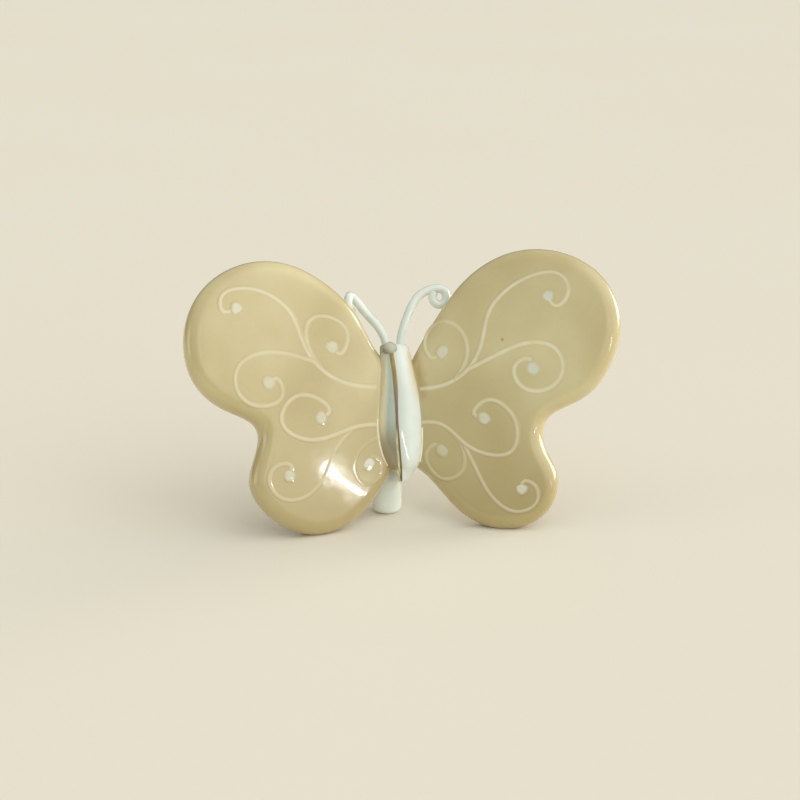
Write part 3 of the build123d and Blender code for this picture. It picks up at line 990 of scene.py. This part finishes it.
for lobe, lines in curls.items():
    side = side_of(lobe)
    lifted = []
    for line in lines:
        flat = smooth_line([on_wing(side, share) for share in line], 110)
        lifted.append(on_front(side, [(x, y) for x, y in flat if abs(x) > root_clear[side]]))
    trail = run_tree(
        lobe + "_slip_lines",
        drawn_curve(lobe, lifted),
        slip_trail,
        {"Width": slip_width, "Height": slip_rise, "Material": slip_glaze},
        wing_to_world(side),
    )
    store(trail.data, "cover", cover_of(trail.data, side, lifted, slip_cover[lobe]))
    mark_wing(trail.data, side)
    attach(trail, "root")
    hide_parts(lobe + "_scrolls")

# %% [markdown]
# ## The slip dots
# Where a curl ends, the nozzle was held still and left a dot. One low dome is made in the tree and
# instanced on the end of every line, each turned and sized a little differently by a fixed seed,
# and then realised, because an export keeps no instances.

# %% Geometry tree: slip dots


def slip_dot_tree():
    """Puts an uneven low dome on each point."""
    tree, given, put = new_tree(
        "slip dots",
        "GeometryNodeTree",
        [
            ("Points", "NodeSocketGeometry", None),
            ("Radius", "NodeSocketFloat", 1.45),
            ("Height", "NodeSocketFloat", 0.3),
            ("Seed", "NodeSocketInt", 3),
            ("Material", "NodeSocketMaterial", None),
        ],
        [("Dots", "NodeSocketGeometry")],
    )
    ball = add_node(tree, "GeometryNodeMeshUVSphere", Segments=32, Rings=20, Radius=1.0)
    spot = add_node(tree, "GeometryNodeInputPosition").outputs[0]
    axes = add_node(tree, "ShaderNodeSeparateXYZ", Vector=spot).outputs
    across = sums(tree, "MULTIPLY", axes["X"], axes["X"])
    plan = sums(tree, "ADD", across, sums(tree, "MULTIPLY", axes["Y"], axes["Y"]))
    core = sums(tree, "SUBTRACT", 1.0, sums(tree, "SQRT", plan))
    marked = add_node(
        tree, "GeometryNodeStoreNamedAttribute", {"data_type": "FLOAT", "domain": "POINT"},
        Geometry=ball.outputs[0], Name="core", Value=core,
    )
    arc = sums(tree, "MULTIPLY", axes["Z"], sums(tree, "ABSOLUTE", axes["Z"]))
    low = add_node(
        tree, "ShaderNodeCombineXYZ", X=sums(tree, "MULTIPLY", axes["X"], given["Radius"]),
        Y=sums(tree, "MULTIPLY", axes["Y"], given["Radius"]), Z=sums(tree, "MULTIPLY", arc, given["Height"]),
    ).outputs[0]
    dome = add_node(tree, "GeometryNodeSetPosition", Geometry=marked.outputs[0], Position=low)
    turn = add_node(tree, "FunctionNodeRandomValue", {"data_type": "FLOAT"}, Seed=given["Seed"])
    turn.inputs[3].default_value = 2 * pi
    spin = add_node(tree, "ShaderNodeCombineXYZ", Z=turn.outputs[1]).outputs[0]
    stretch = add_node(tree, "FunctionNodeRandomValue", {"data_type": "FLOAT_VECTOR"}, Seed=given["Seed"])
    stretch.inputs[0].default_value = (0.92, 0.86, 0.9)
    stretch.inputs[1].default_value = (1.06, 1.0, 1.0)
    placed = add_node(
        tree, "GeometryNodeInstanceOnPoints", Points=given["Points"], Instance=dome.outputs[0],
        Rotation=spin, Scale=stretch.outputs[0],
    )
    whole = add_node(tree, "GeometryNodeRealizeInstances", Geometry=placed.outputs[0])
    noise = add_node(tree, "ShaderNodeTexNoise", Scale=0.7, Detail=1.0)
    feed(tree, noise.inputs["Vector"], add_node(tree, "GeometryNodeInputPosition").outputs[0])
    uneven = add_node(tree, "ShaderNodeVectorMath", {"operation": "SUBTRACT"})
    feed(tree, uneven.inputs[0], noise.outputs["Color"])
    uneven.inputs[1].default_value = (0.5, 0.5, 0.5)
    shift = add_node(tree, "ShaderNodeVectorMath", {"operation": "MULTIPLY"})
    feed(tree, shift.inputs[0], uneven.outputs[0])
    shift.inputs[1].default_value = (0.7, 0.7, 0.0)
    nudged = add_node(tree, "GeometryNodeSetPosition", Geometry=whole.outputs[0], Offset=shift.outputs[0])
    finish_shape(tree, nudged.outputs[0], given, put["Dots"])
    return tree


slip_dot = slip_dot_tree()

# %% Make the dots
dot_radius = 1.75
dot_rise = 0.05
dot_cover = {
    "left_forewing": (0.80, 0.60, 0.70),
    "left_hindwing": (0.70, 0.70, 1.00),
    "right_forewing": (0.95, 1.00, 0.80),
    "right_hindwing": (0.80, 0.95, 0.50),
}
for seed, (lobe, lines) in enumerate(curls.items()):
    side = side_of(lobe)
    ends = [on_wing(side, line[-1]) for line in lines]
    mesh = bpy.data.meshes.new(lobe + " dot places")
    mesh.from_pydata([(x, y, z + slip_rise / 2) for x, y, z in on_front(side, ends)], [], [])
    places = bpy.data.objects.new(lobe + " dot places", mesh)
    scene.collection.objects.link(places)
    dots = run_tree(
        lobe + "_slip_dots",
        places,
        slip_dot,
        {"Radius": dot_radius, "Height": dot_rise, "Seed": seed, "Material": dot_glaze},
        wing_to_world(side),
    )
    store(dots.data, "cover", cover_of(dots.data, side, [[end] for end in ends], dot_cover[lobe]))
    mark_wing(dots.data, side)
    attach(dots, "root")
    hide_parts(lobe + "_dots")

# %% [markdown]
# ## The body
# The body is a long roof shape: a flat back, two round flanks and two facets that meet in a ridge,
# narrow at the top and pointed at the end. A loft in code suits it best. Each ring is drawn from
# five numbers that run smoothly along the body, and averaging its corners gives the soft arris that
# a thick glaze leaves.

# %% Rings of the body
side_steps = (12, 12, 22, 22, 12)
ridge_index = sum(side_steps[:3])


def body_ring(along, soften=3):
    """One ring of the body, as points of its cross-section in millimetres."""
    left, right, ridge, crown = station_at(along)
    left_x, right_x = -left * body_half_width, right * body_half_width
    edge_y = -crown * body_edge
    corners = [
        (left_x * back_width_share, body_back * sqrt(crown)),
        (right_x * back_width_share, body_back * sqrt(crown)),
        (right_x, edge_y),
        (ridge * body_half_width, -crown * body_crown),
        (left_x, edge_y),
    ]
    bulges = (0, flank_bulge, facet_bulge, facet_bulge, flank_bulge)
    ring = []
    for i, (steps, bulge) in enumerate(zip(side_steps, bulges)):
        start, end = np.array(corners[i]), np.array(corners[(i + 1) % len(corners)])
        run = end - start
        out = np.array((-run[1], run[0])) / np.linalg.norm(run)
        for step in range(steps):
            share = step / steps
            ring.append(start + run * share + out * bulge * crown * 4 * share * (1 - share))
    ring = np.array(ring)
    for _ in range(soften):
        ring = ring / 2 + np.roll(ring, 1, axis=0) / 4 + np.roll(ring, -1, axis=0) / 4
    return ring


print("points in a body ring:", len(body_ring(0.0)), "ridge at", ridge_index)

# %% Loft the body
end_round = 0.9
end_steps = 8


def quarter(steps):
    """Angles that divide a quarter turn evenly, from none to the whole of it."""
    return np.linspace(0, pi / 2, steps + 1)


def lofted(name, rings, place, material):
    """A closed mesh from rings of equal length, with a middle point over each end."""
    rings = [np.asarray(ring, float) for ring in rings]
    size = len(rings[0])
    points = [tuple(point) for ring in rings for point in ring]
    points += [tuple(rings[0].mean(axis=0)), tuple(rings[-1].mean(axis=0))]
    first, last = len(points) - 2, len(points) - 1
    faces = []
    for k in range(len(rings) - 1):
        for i in range(size):
            j = (i + 1) % size
            faces.append((k * size + i, k * size + j, (k + 1) * size + j, (k + 1) * size + i))
    top = (len(rings) - 1) * size
    for i in range(size):
        j = (i + 1) % size
        faces.append((first, j, i))
        faces.append((last, top + i, top + j))
    mesh = bpy.data.meshes.new(name)
    mesh.from_pydata(points, [], faces)
    mesh.transform(place)
    shape = bmesh.new()
    shape.from_mesh(mesh)
    bmesh.ops.recalc_face_normals(shape, faces=shape.faces)
    shape.to_mesh(mesh)
    shape.free()
    mesh.shade_smooth()
    mesh.materials.append(material)
    return add_piece(name, mesh)


def shrunk(ring, inset):
    """A ring drawn in towards its middle by about the given distance."""
    middle = ring.mean(axis=0)
    reach = np.linalg.norm(ring - middle, axis=1).mean()
    return middle + (ring - middle) * max(1 - inset / reach, 0.02)


round_share = end_round / body_length
body_rings = []
for turn in quarter(end_steps):
    body_rings.append((body_end + round_share * (1 - cos(turn)), end_round * (1 - sin(turn))))
for along in np.linspace(body_end + 2 * round_share, body_top - round_share, 64):
    body_rings.append((along, 0))
for turn in quarter(end_steps)[1:]:
    body_rings.append((body_top - round_share * (1 - sin(turn)), end_round * (1 - cos(turn))))

rings = []
for along, inset in body_rings:
    ring = shrunk(body_ring(along), inset)
    rings.append([(x, y, along * body_length) for x, y in ring])
glazed_body = lofted("body_glazed", rings, body_to_world, porcelain_white)


def mark_body(mesh):
    """Stores where beige has run in, and where grey and brown shade are painted."""
    to_body = body_to_world.inverted()
    beige, brown_shading, shade_mix = [], [], []
    for point in mesh.vertices:
        x, y, z = to_body @ point.co
        along = min(max(z / body_length, body_end), body_top)
        left, right, ridge, crown = [share * body_half_width for share in station_at(along)]
        across = (x + left) / (ridge + left)
        front = blend(0.5, -1.5, y)
        past_ridge = (x - ridge) / (right - ridge)
        left_run = blend(0.62, 0.12, across) * blend(0.47, 0.30, along)
        right_run = blend(0.55, 1.0, past_ridge) * blend(-0.02, 0.22, along) * blend(0.47, 0.36, along)
        beige.append(front * max(left_run, 0.85 * right_run))
        ended = blend(-0.44, -0.415, along + 0.006 * sin(5.0 * x))
        # Painted shade: brown low on the left facet and at the top left, where shade falls.
        low_browning = blend(-0.02, -0.30, along) * 0.85 * ended
        top_browning = 0.6 * blend(0.39, 0.42, along) * blend(0.7, 0.4, across)
        brown_shading.append(front * blend(1.02, 0.9, across) * max(low_browning, top_browning))
        # Painted shade and reflection: grey on the left facet and on the right facet beside the ridge.
        beside = 0.7 if across < 1 else 0.62 * blend(0.6, 0.0, past_ridge)
        shade_mix.append(front * beside * ended)
    store(mesh, "beige", beige)
    store(mesh, "brown_shading", brown_shading)
    store(mesh, "shade_mix", shade_mix)


mark_body(glazed_body.data)
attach(glazed_body, "root")
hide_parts("body")

# %% [markdown]
# ## The gilt ridge
# A brush charged with gold was drawn down the ridge. Its stroke lies on the body, so it is cut
# from the same rings: a narrow band around the ridge, a few hundredths proud, that swells and
# thins as the brush did. Most of the gold has worn off its upper part; a bright edge is left low
# down on its left side.

# %% Gilt band on the ridge
gold_proud = 0.06
band_steps = 9
stroke_rows = 90
near_ridge = 14
stroke_low = body_end + 0.015
stroke_high = body_top - 0.010


def ridge_width(share):
    """Half the width of the gilt stroke, in millimetres, from the body's end up to the head."""
    shares = (0, 0.12, 0.30, 0.42, 0.55, 0.66, 0.85, 1)
    return float(np.interp(share, shares, (0.25, 0.50, 0.50, 0.38, 0.40, 0.56, 0.60, 0.62)))


def ridge_band():
    """Rows of points across the ridge, from the body's end to the head."""
    rows = []
    for share in np.linspace(0, 1, stroke_rows):
        along = stroke_low + (stroke_high - stroke_low) * share
        ring = body_ring(along)
        near = ring[ridge_index - near_ridge : ridge_index + near_ridge + 1]
        run = np.concatenate(([0], np.cumsum(np.linalg.norm(np.diff(near, axis=0), axis=1))))
        run -= run[near_ridge]
        wanted = np.linspace(-ridge_width(share), ridge_width(share), band_steps)
        line = np.stack([np.interp(wanted, run, near[:, axis]) for axis in range(2)], axis=1)
        middle = ring.mean(axis=0)
        out = (line - middle) / np.linalg.norm(line - middle, axis=1)[:, None]
        lift = gold_proud * np.sqrt(np.clip(1 - np.linspace(-1, 1, band_steps) ** 2, 0.02, 1))[:, None]
        outer = line + out * lift
        inner = (line - out * gold_proud)[::-1]
        loop = np.concatenate((outer, inner))
        rows.append([(x, y, along * body_length) for x, y in loop])
    return rows


def mark_stroke(mesh):
    """Stores how far along and across the stroke each point lies, and how whole its gold is."""
    across = np.linspace(1, -1, band_steps)
    across = np.concatenate((across, across[::-1]))
    share, side = np.meshgrid(np.linspace(0, 1, stroke_rows), across, indexing="ij")
    share, side = [np.concatenate((values.ravel(), (0, 0))) for values in (share, side)]
    bright = blend(0.02, 0.10, share) * blend(0.42, 0.30, share) * blend(0.1, -0.2, side)
    store(mesh, "gold", np.clip(bright + 0.08 * blend(0.3, 0.6, share), 0, 1))
    store(mesh, "stroke", share)
    store(mesh, "core", 1 - np.abs(side))


gilt_ridge = lofted("ridge_gilding_brushed", ridge_band(), body_to_world, gilding)
mark_stroke(gilt_ridge.data)
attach(gilt_ridge, "root")
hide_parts("ridge_gilding")

# %% [markdown]
# ## The antennae
# Both antennae are rolled clay, thick at the root, thinner along the stem and tapering into a
# closed curl. The left one's curl is turned to face sideways. A path with a radius that follows a
# rule is another sweep, so the same few inputs make both.

# %% Geometry tree: a rolled antenna
body_top_height = body_top * body_length


def rolled_tree():
    """Sweeps a round section whose radius runs from root to middle to tip along a path."""
    tree, given, put = new_tree(
        "rolled antenna",
        "GeometryNodeTree",
        [
            ("Path", "NodeSocketGeometry", None),
            ("Root Radius", "NodeSocketFloat", 1.4),
            ("Middle Radius", "NodeSocketFloat", 0.9),
            ("Tip Radius", "NodeSocketFloat", 0.42),
            ("Curl Share", "NodeSocketFloat", 0.30),
            ("Taper Power", "NodeSocketFloat", 3.0),
            ("Material", "NodeSocketMaterial", None),
        ],
        [("Antenna", "NodeSocketGeometry")],
    )
    along = add_node(tree, "GeometryNodeSplineParameter").outputs["Factor"]
    stem = sums(tree, "DIVIDE", along, sums(tree, "SUBTRACT", 1.0, given["Curl Share"]))
    left_over = sums(tree, "POWER", sums(tree, "SUBTRACT", 1.0, stem, clamp=True), given["Taper Power"])
    thicker = sums(tree, "SUBTRACT", given["Root Radius"], given["Middle Radius"])
    flare = sums(tree, "MULTIPLY", left_over, thicker)
    to_go = sums(tree, "DIVIDE", sums(tree, "SUBTRACT", 1.0, along), given["Curl Share"])
    curled = sums(tree, "SUBTRACT", 1.0, to_go, clamp=True)
    thinner = sums(tree, "SUBTRACT", given["Middle Radius"], given["Tip Radius"])
    narrowing = sums(tree, "MULTIPLY", curled, thinner)
    radius = sums(tree, "SUBTRACT", sums(tree, "ADD", given["Middle Radius"], flare), narrowing)
    close = ranged(tree, along, 0.985, 1.0)
    tip = sums(tree, "SQRT", sums(tree, "SUBTRACT", 1.002, sums(tree, "MULTIPLY", close, close)))
    wobble = add_node(tree, "ShaderNodeTexNoise", Scale=0.35, Detail=1.0)
    feed(tree, wobble.inputs["Vector"], add_node(tree, "GeometryNodeInputPosition").outputs[0])
    uneven = sums(tree, "MULTIPLY_ADD", wobble.outputs["Fac"], 0.16, 0.92)
    size = sums(tree, "MULTIPLY", sums(tree, "MULTIPLY", radius, tip), uneven)
    sized = add_node(tree, "GeometryNodeSetCurveRadius", Curve=given["Path"], Radius=size)
    ring = add_node(tree, "GeometryNodeCurvePrimitiveCircle", {"mode": "RADIUS"}, Resolution=28, Radius=1.0)
    swept = add_node(
        tree, "GeometryNodeCurveToMesh", Curve=sized.outputs[0], Profile_Curve=ring.outputs[0]
    )
    swept.inputs["Fill Caps"].default_value = True
    finish_shape(tree, swept.outputs[0], given, put["Antenna"])
    return tree


rolled_antenna = rolled_tree()

# %% Draw the antennae's paths
antenna_set_back = 0.2
antenna_sunk = 0.4
curl_radius = 1.95
curl_width = 0.89
curl_close = 0.14
curl_steps = 6


def antenna_path(side, root_x, reach, top, stem, turn, sweep):
    """The path of one antenna in the body's frame: root, stem and closing curl."""
    rise = top - body_top_height
    points = [(root_x, antenna_set_back, body_top_height - drop) for drop in (antenna_sunk, 0)]
    for out, up in stem:
        spread = root_x + side * out * (reach - abs(root_x))
        points.append((spread, antenna_set_back, body_top_height + up * rise))
    for step in range(curl_steps + 1):
        angle = radians(sweep) * step / curl_steps
        radius = curl_radius * (1 - curl_close * step / curl_steps)
        out, up = radius * curl_width * sin(angle), radius * cos(angle)
        x = side * (reach + out * cos(radians(turn)))
        y = antenna_set_back - out * sin(radians(turn))
        points.append((x, y, top - curl_radius + up))
    return smooth_line(points, 170)


right_stem = ((0.10, 0.33), (0.20, 0.52), (0.33, 0.715), (0.53, 0.895), (0.74, 0.975))
left_stem = ((0.12, 0.265), (0.28, 0.433), (0.45, 0.564), (0.69, 0.765), (0.86, 0.92))
antenna_paths = {
    "left": antenna_path(-1, root_x=-2.6, reach=10.4, top=26.85, stem=left_stem, turn=65, sweep=200),
    "right": antenna_path(1, root_x=0.75, reach=10.15, top=27.96, stem=right_stem, turn=0, sweep=315),
}
antenna_tapers = {
    "left": {"Root Radius": 1.05, "Middle Radius": 0.60, "Taper Power": 3.0},
    "right": {"Root Radius": 2.0, "Middle Radius": 0.88, "Taper Power": 2.5},
}
for word, path in antenna_paths.items():
    antenna = run_tree(
        word + "_antenna_rolled",
        drawn_curve(word + " antenna path", [path]),
        rolled_antenna,
        {**antenna_tapers[word], "Material": porcelain_white},
        body_to_world,
    )
    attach(antenna, "root")
    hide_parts(word + "_antenna")

# %% [markdown]
# ## The head bead
# The head is a small ball pressed on by hand. Rings from pole to pole give full control of it: it
# is a little flattened, and its pressing shows as a faint oval.

# %% Head bead
head_radius = 1.75
bead_place = head_drawn + Vector((-0.2, -0.4, -0.45))
bead_rows = 24
bead_parts = 36


def bead_rings():
    """Rings of a slightly flattened bead around its own middle."""
    rings = []
    for step in range(1, bead_rows):
        polar = pi * step / bead_rows
        ring = []
        for part in range(bead_parts):
            round_it = 2 * pi * part / bead_parts
            swell = 1 + 0.02 * sin(2 * round_it + 0.6) - 0.02 * cos(2 * polar)
            width = head_radius * 0.97 * sin(polar) * swell
            ring.append((width * cos(round_it), width * sin(round_it), -head_radius * 0.98 * cos(polar)))
        rings.append(ring)
    return rings


bead = lofted("head_bead", bead_rings(), body_to_world @ Matrix.Translation(bead_place), bead_white)
from_middle = [body_to_world.inverted() @ point.co - bead_place for point in bead.data.vertices]
# Painted shade: the bead's lower left is browned where it turns from the light.
store(bead.data, "brown_shading", [0.95 * blend(0.2, 1.1, -(x + z) / head_radius) for x, y, z in from_middle])
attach(bead, "root")
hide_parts("head")

# %% [markdown]
# ## The seams
# Along the lower half of the body's edges runs a hair of gold where wing meets body. Each is a thin
# bead that follows the seam, swept by the same trail tree as the slip with a narrower profile. Most of
# its colour is a near-white cream, a painted highlight along the wing's edge, with a little gold in it.

# %% Gilt seams
seam_reach = {"left": (-0.39, -0.06), "right": (-0.37, -0.13)}
seam_clear = {"left": 0.7, "right": 0.65}


def seam_line(side, low, high, clear):
    """Points on a wing's front along the body's edge and clear of it, in the wing's drawing."""
    flat = []
    for along in np.linspace(low, high, 40):
        left, right, *_ = station_at(along)
        edge_x = side * (right if side > 0 else left) * body_half_width
        flat.append((edge_x / cos(wing_dihedral) + side * clear, along * body_length))
    return on_front(side, flat)


for word, side in sides.items():
    seam = run_tree(
        word + "_seam_gilding_highlight",
        drawn_curve(word + " seam", [seam_line(side, *seam_reach[word], seam_clear[word])]),
        slip_trail,
        {"Width": 0.42, "Height": 0.2, "Taper": 0.7, "Material": seam_gold_highlight},
        wing_to_world(side),
    )
    # Painted highlight: only three tenths of the seam is gold; the rest shows the cream of a painted
    # highlight.
    store(seam.data, "gold", np.full(len(seam.data.vertices), 0.3))
    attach(seam, "root")
    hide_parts(word + "_seam_gilding")

# %% [markdown]
# ## The foot
# Behind the body stands a short round strut, thrown like a tiny post: a flat sole, a rounded foot
# edge and a slanting top that seats on the body's flat back. It is a turned profile, cut by the
# plane of that back.

# %% Turned foot
foot_low, foot_high = [Vector(corner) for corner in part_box("tail_foot")]
foot_middle = (foot_low + foot_high) / 2
foot_radius = 3.45
foot_height = 19.0
sole_round = 1.4
top_round = 0.6
straight_from = 2.2
foot_parts = 72


def foot_rings():
    """Rings of the strut from its sole to its top, in millimetres."""
    profile = []
    for turn in quarter(8):
        profile.append((foot_radius - sole_round * (1 - sin(turn)), sole_round * (1 - cos(turn))))
    for height in np.linspace(straight_from, foot_height - top_round, 18):
        profile.append((foot_radius, height))
    for turn in quarter(5)[1:]:
        profile.append((foot_radius - top_round * (1 - cos(turn)), foot_height - top_round * (1 - sin(turn))))
    rings = []
    for radius, height in profile:
        ring = []
        for part in range(foot_parts):
            round_it = 2 * pi * part / foot_parts
            ring.append((radius * cos(round_it), radius * sin(round_it), height))
        rings.append(ring)
    return rings


foot_place = Matrix.Translation((foot_middle.x, foot_middle.y, 0)) @ Matrix.Scale(mm, 4)
foot = lofted("tail_foot_turned", foot_rings(), foot_place, porcelain_white)
shape = bmesh.new()
shape.from_mesh(foot.data)
back_plane = body_to_world @ Vector((0, body_back, 0))
back_normal = (body_to_world.to_3x3() @ Vector((0, -1, 0))).normalized()
bmesh.ops.bisect_plane(
    shape,
    geom=shape.verts[:] + shape.edges[:] + shape.faces[:],
    plane_co=back_plane,
    plane_no=back_normal,
    clear_outer=True,
)
bmesh.ops.holes_fill(shape, edges=[edge for edge in shape.edges if edge.is_boundary])
shape.to_mesh(foot.data)
shape.free()
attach(foot, "root")
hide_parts("tail_foot")

# %% [markdown]
# ## Floor
# A plain pale floor is all the ornament stands on. It is a wide sheet, so that the camera sees
# nothing else, and its soft mottle only keeps it from looking cut out.

# %% Floor
floor_mesh = bpy.data.meshes.new("floor")
floor_mesh.from_pydata([(-4, -4, 0), (4, -4, 0), (4, 6, 0), (-4, 6, 0)], [], [(0, 1, 2, 3)])
floor = bpy.data.objects.new("floor", floor_mesh)
scene.collection.objects.link(floor)


def pale_floor():
    """A matt warm white with a faint drift."""
    material, tree, shader = new_material("pale floor")
    tones = {"Pale": paint(236, 229, 214), "Deep": paint(235, 228, 212)}
    drift = use_group(tree, glaze_drift, **tones, Broad_Size=6.0, Fine_Size=40.0)
    feed(tree, shader.inputs["Base Color"], drift.outputs["Color"])
    shader.inputs["Roughness"].default_value = 0.9
    shader.inputs["Specular IOR Level"].default_value = 0.1
    return material


floor_mesh.materials.append(pale_floor())

# %% [markdown]
# ## Light and camera
# Glossy glaze shows its lights as mirror images, and a lamp's hard edge across a wing would give
# the studio away. So the soft light comes from the surround itself: a pale room that brightens
# smoothly towards a window on the front right, towards the ceiling and towards the walls at both
# sides, whose glow draws the bright lines along the rims. Two narrow lamps only add what a smooth
# surround cannot: the crisp streak on the left hindwing, with its round head. The camera stands a
# little left of the front and looks slightly down.

# %% Lamps and surround


def towards(azimuth, elevation):
    """The unit vector to a direction in degrees, from the front and up from the floor."""
    turn, rise = radians(azimuth), radians(elevation)
    return Vector((sin(turn) * cos(rise), -cos(turn) * cos(rise), sin(rise)))


hindwing_front = Vector((-0.0139, -0.0082, 0.0111))
streak_ends = (Vector((0.711, -0.916, 0.304)), Vector((0.795, -0.876, 0.209)))


def add_streak(name, share, size, power):
    """A strip lamp along the line that the left hindwing mirrors as its streak."""
    place = streak_ends[0].lerp(streak_ends[1], share)
    back = (place - hindwing_front).normalized()
    along = (streak_ends[1] - streak_ends[0]).normalized()
    across = back.cross(along).normalized()
    lamp = bpy.data.lights.new(name, "AREA")
    lamp.shape = "RECTANGLE"
    lamp.size, lamp.size_y = size
    lamp.energy = power
    strip = bpy.data.objects.new(name, lamp)
    scene.collection.objects.link(strip)
    strip.location = place
    strip.rotation_euler = Matrix((across.cross(back), across, back)).transposed().to_euler()


add_streak("streak lamp", 1.55, (0.400, 0.012), 0.42)
add_streak("streak head lamp", 0.13, (0.034, 0.022), 0.06)

# %% A surround that brightens smoothly
world = bpy.data.worlds.new("surround")
scene.world = world
world.use_nodes = True
surround = world.node_tree
for old in list(surround.nodes):
    surround.nodes.remove(old)
way = add_node(surround, "ShaderNodeTexCoord").outputs["Generated"]
room_light = (0.12, 0.12, 0.12)
glows = {
    "window": (towards(55, 24), 0.45, (1.22, 1.22, 1.18)),
    "ceiling": (Vector((0, 0, 1)), 0.2, (0.70, 0.70, 0.67)),
    "sky": (towards(-28, 22), 0.84, (0.08, 0.26, 0.36)),
    "left wall": (towards(-78, 12), 0.92, (1.8, 1.7, 1.3)),
    "right wall": (towards(107, 7), 0.90, (7.0, 6.8, 6.1)),
    "front": (towards(7, 27), 0.97, (0.7, 0.68, 0.6)),
}


def glow(direction, start, colour):
    """Coloured light that rises smoothly towards a direction, from a starting cosine."""
    nearness = add_node(surround, "ShaderNodeVectorMath", {"operation": "DOT_PRODUCT"})
    feed(surround, nearness.inputs[0], way)
    nearness.inputs[1].default_value = direction
    risen = ranged(surround, nearness.outputs["Value"], start, 1.0, "SMOOTHSTEP")
    scaled = add_node(surround, "ShaderNodeVectorMath", {"operation": "SCALE"}, Scale=risen)
    scaled.inputs[0].default_value = colour
    return scaled.outputs["Vector"]


total = room_light
for word, (direction, start, colour) in glows.items():
    added = add_node(surround, "ShaderNodeVectorMath", {"operation": "ADD"})
    feed(surround, added.inputs[0], total)
    feed(surround, added.inputs[1], glow(direction, start, colour))
    total = added.outputs["Vector"]
    print(word, "light from", [round(part, 2) for part in direction])
light_path = add_node(surround, "ShaderNodeLightPath")
seen = add_node(surround, "ShaderNodeBackground", Color=paint(222, 215, 199), Strength=1.0)
lit = add_node(surround, "ShaderNodeBackground", Color=total, Strength=1.0)
chosen = add_node(surround, "ShaderNodeMixShader", Fac=light_path.outputs["Is Camera Ray"])
surround.links.new(lit.outputs[0], chosen.inputs[1])
surround.links.new(seen.outputs[0], chosen.inputs[2])
surround.links.new(chosen.outputs[0], add_node(surround, "ShaderNodeOutputWorld").inputs["Surface"])

# %% Camera
camera_azimuth = -6.5
camera_elevation = 17.0
camera_distance = 0.5046
aim_above = 0.00252

to_camera = towards(camera_azimuth, camera_elevation)
camera_turn = to_camera.to_track_quat("Z", "Y")
camera_data = bpy.data.cameras.new("camera")
camera_data.sensor_width = 36.0
camera_data.lens = 99.0
camera = bpy.data.objects.new("camera", camera_data)
scene.collection.objects.link(camera)
camera.rotation_euler = camera_turn.to_euler()
camera.location = origin + (camera_turn @ Vector((0, 1, 0))) * aim_above + to_camera * camera_distance
scene.camera = camera
scene.view_settings.view_transform = "Standard"
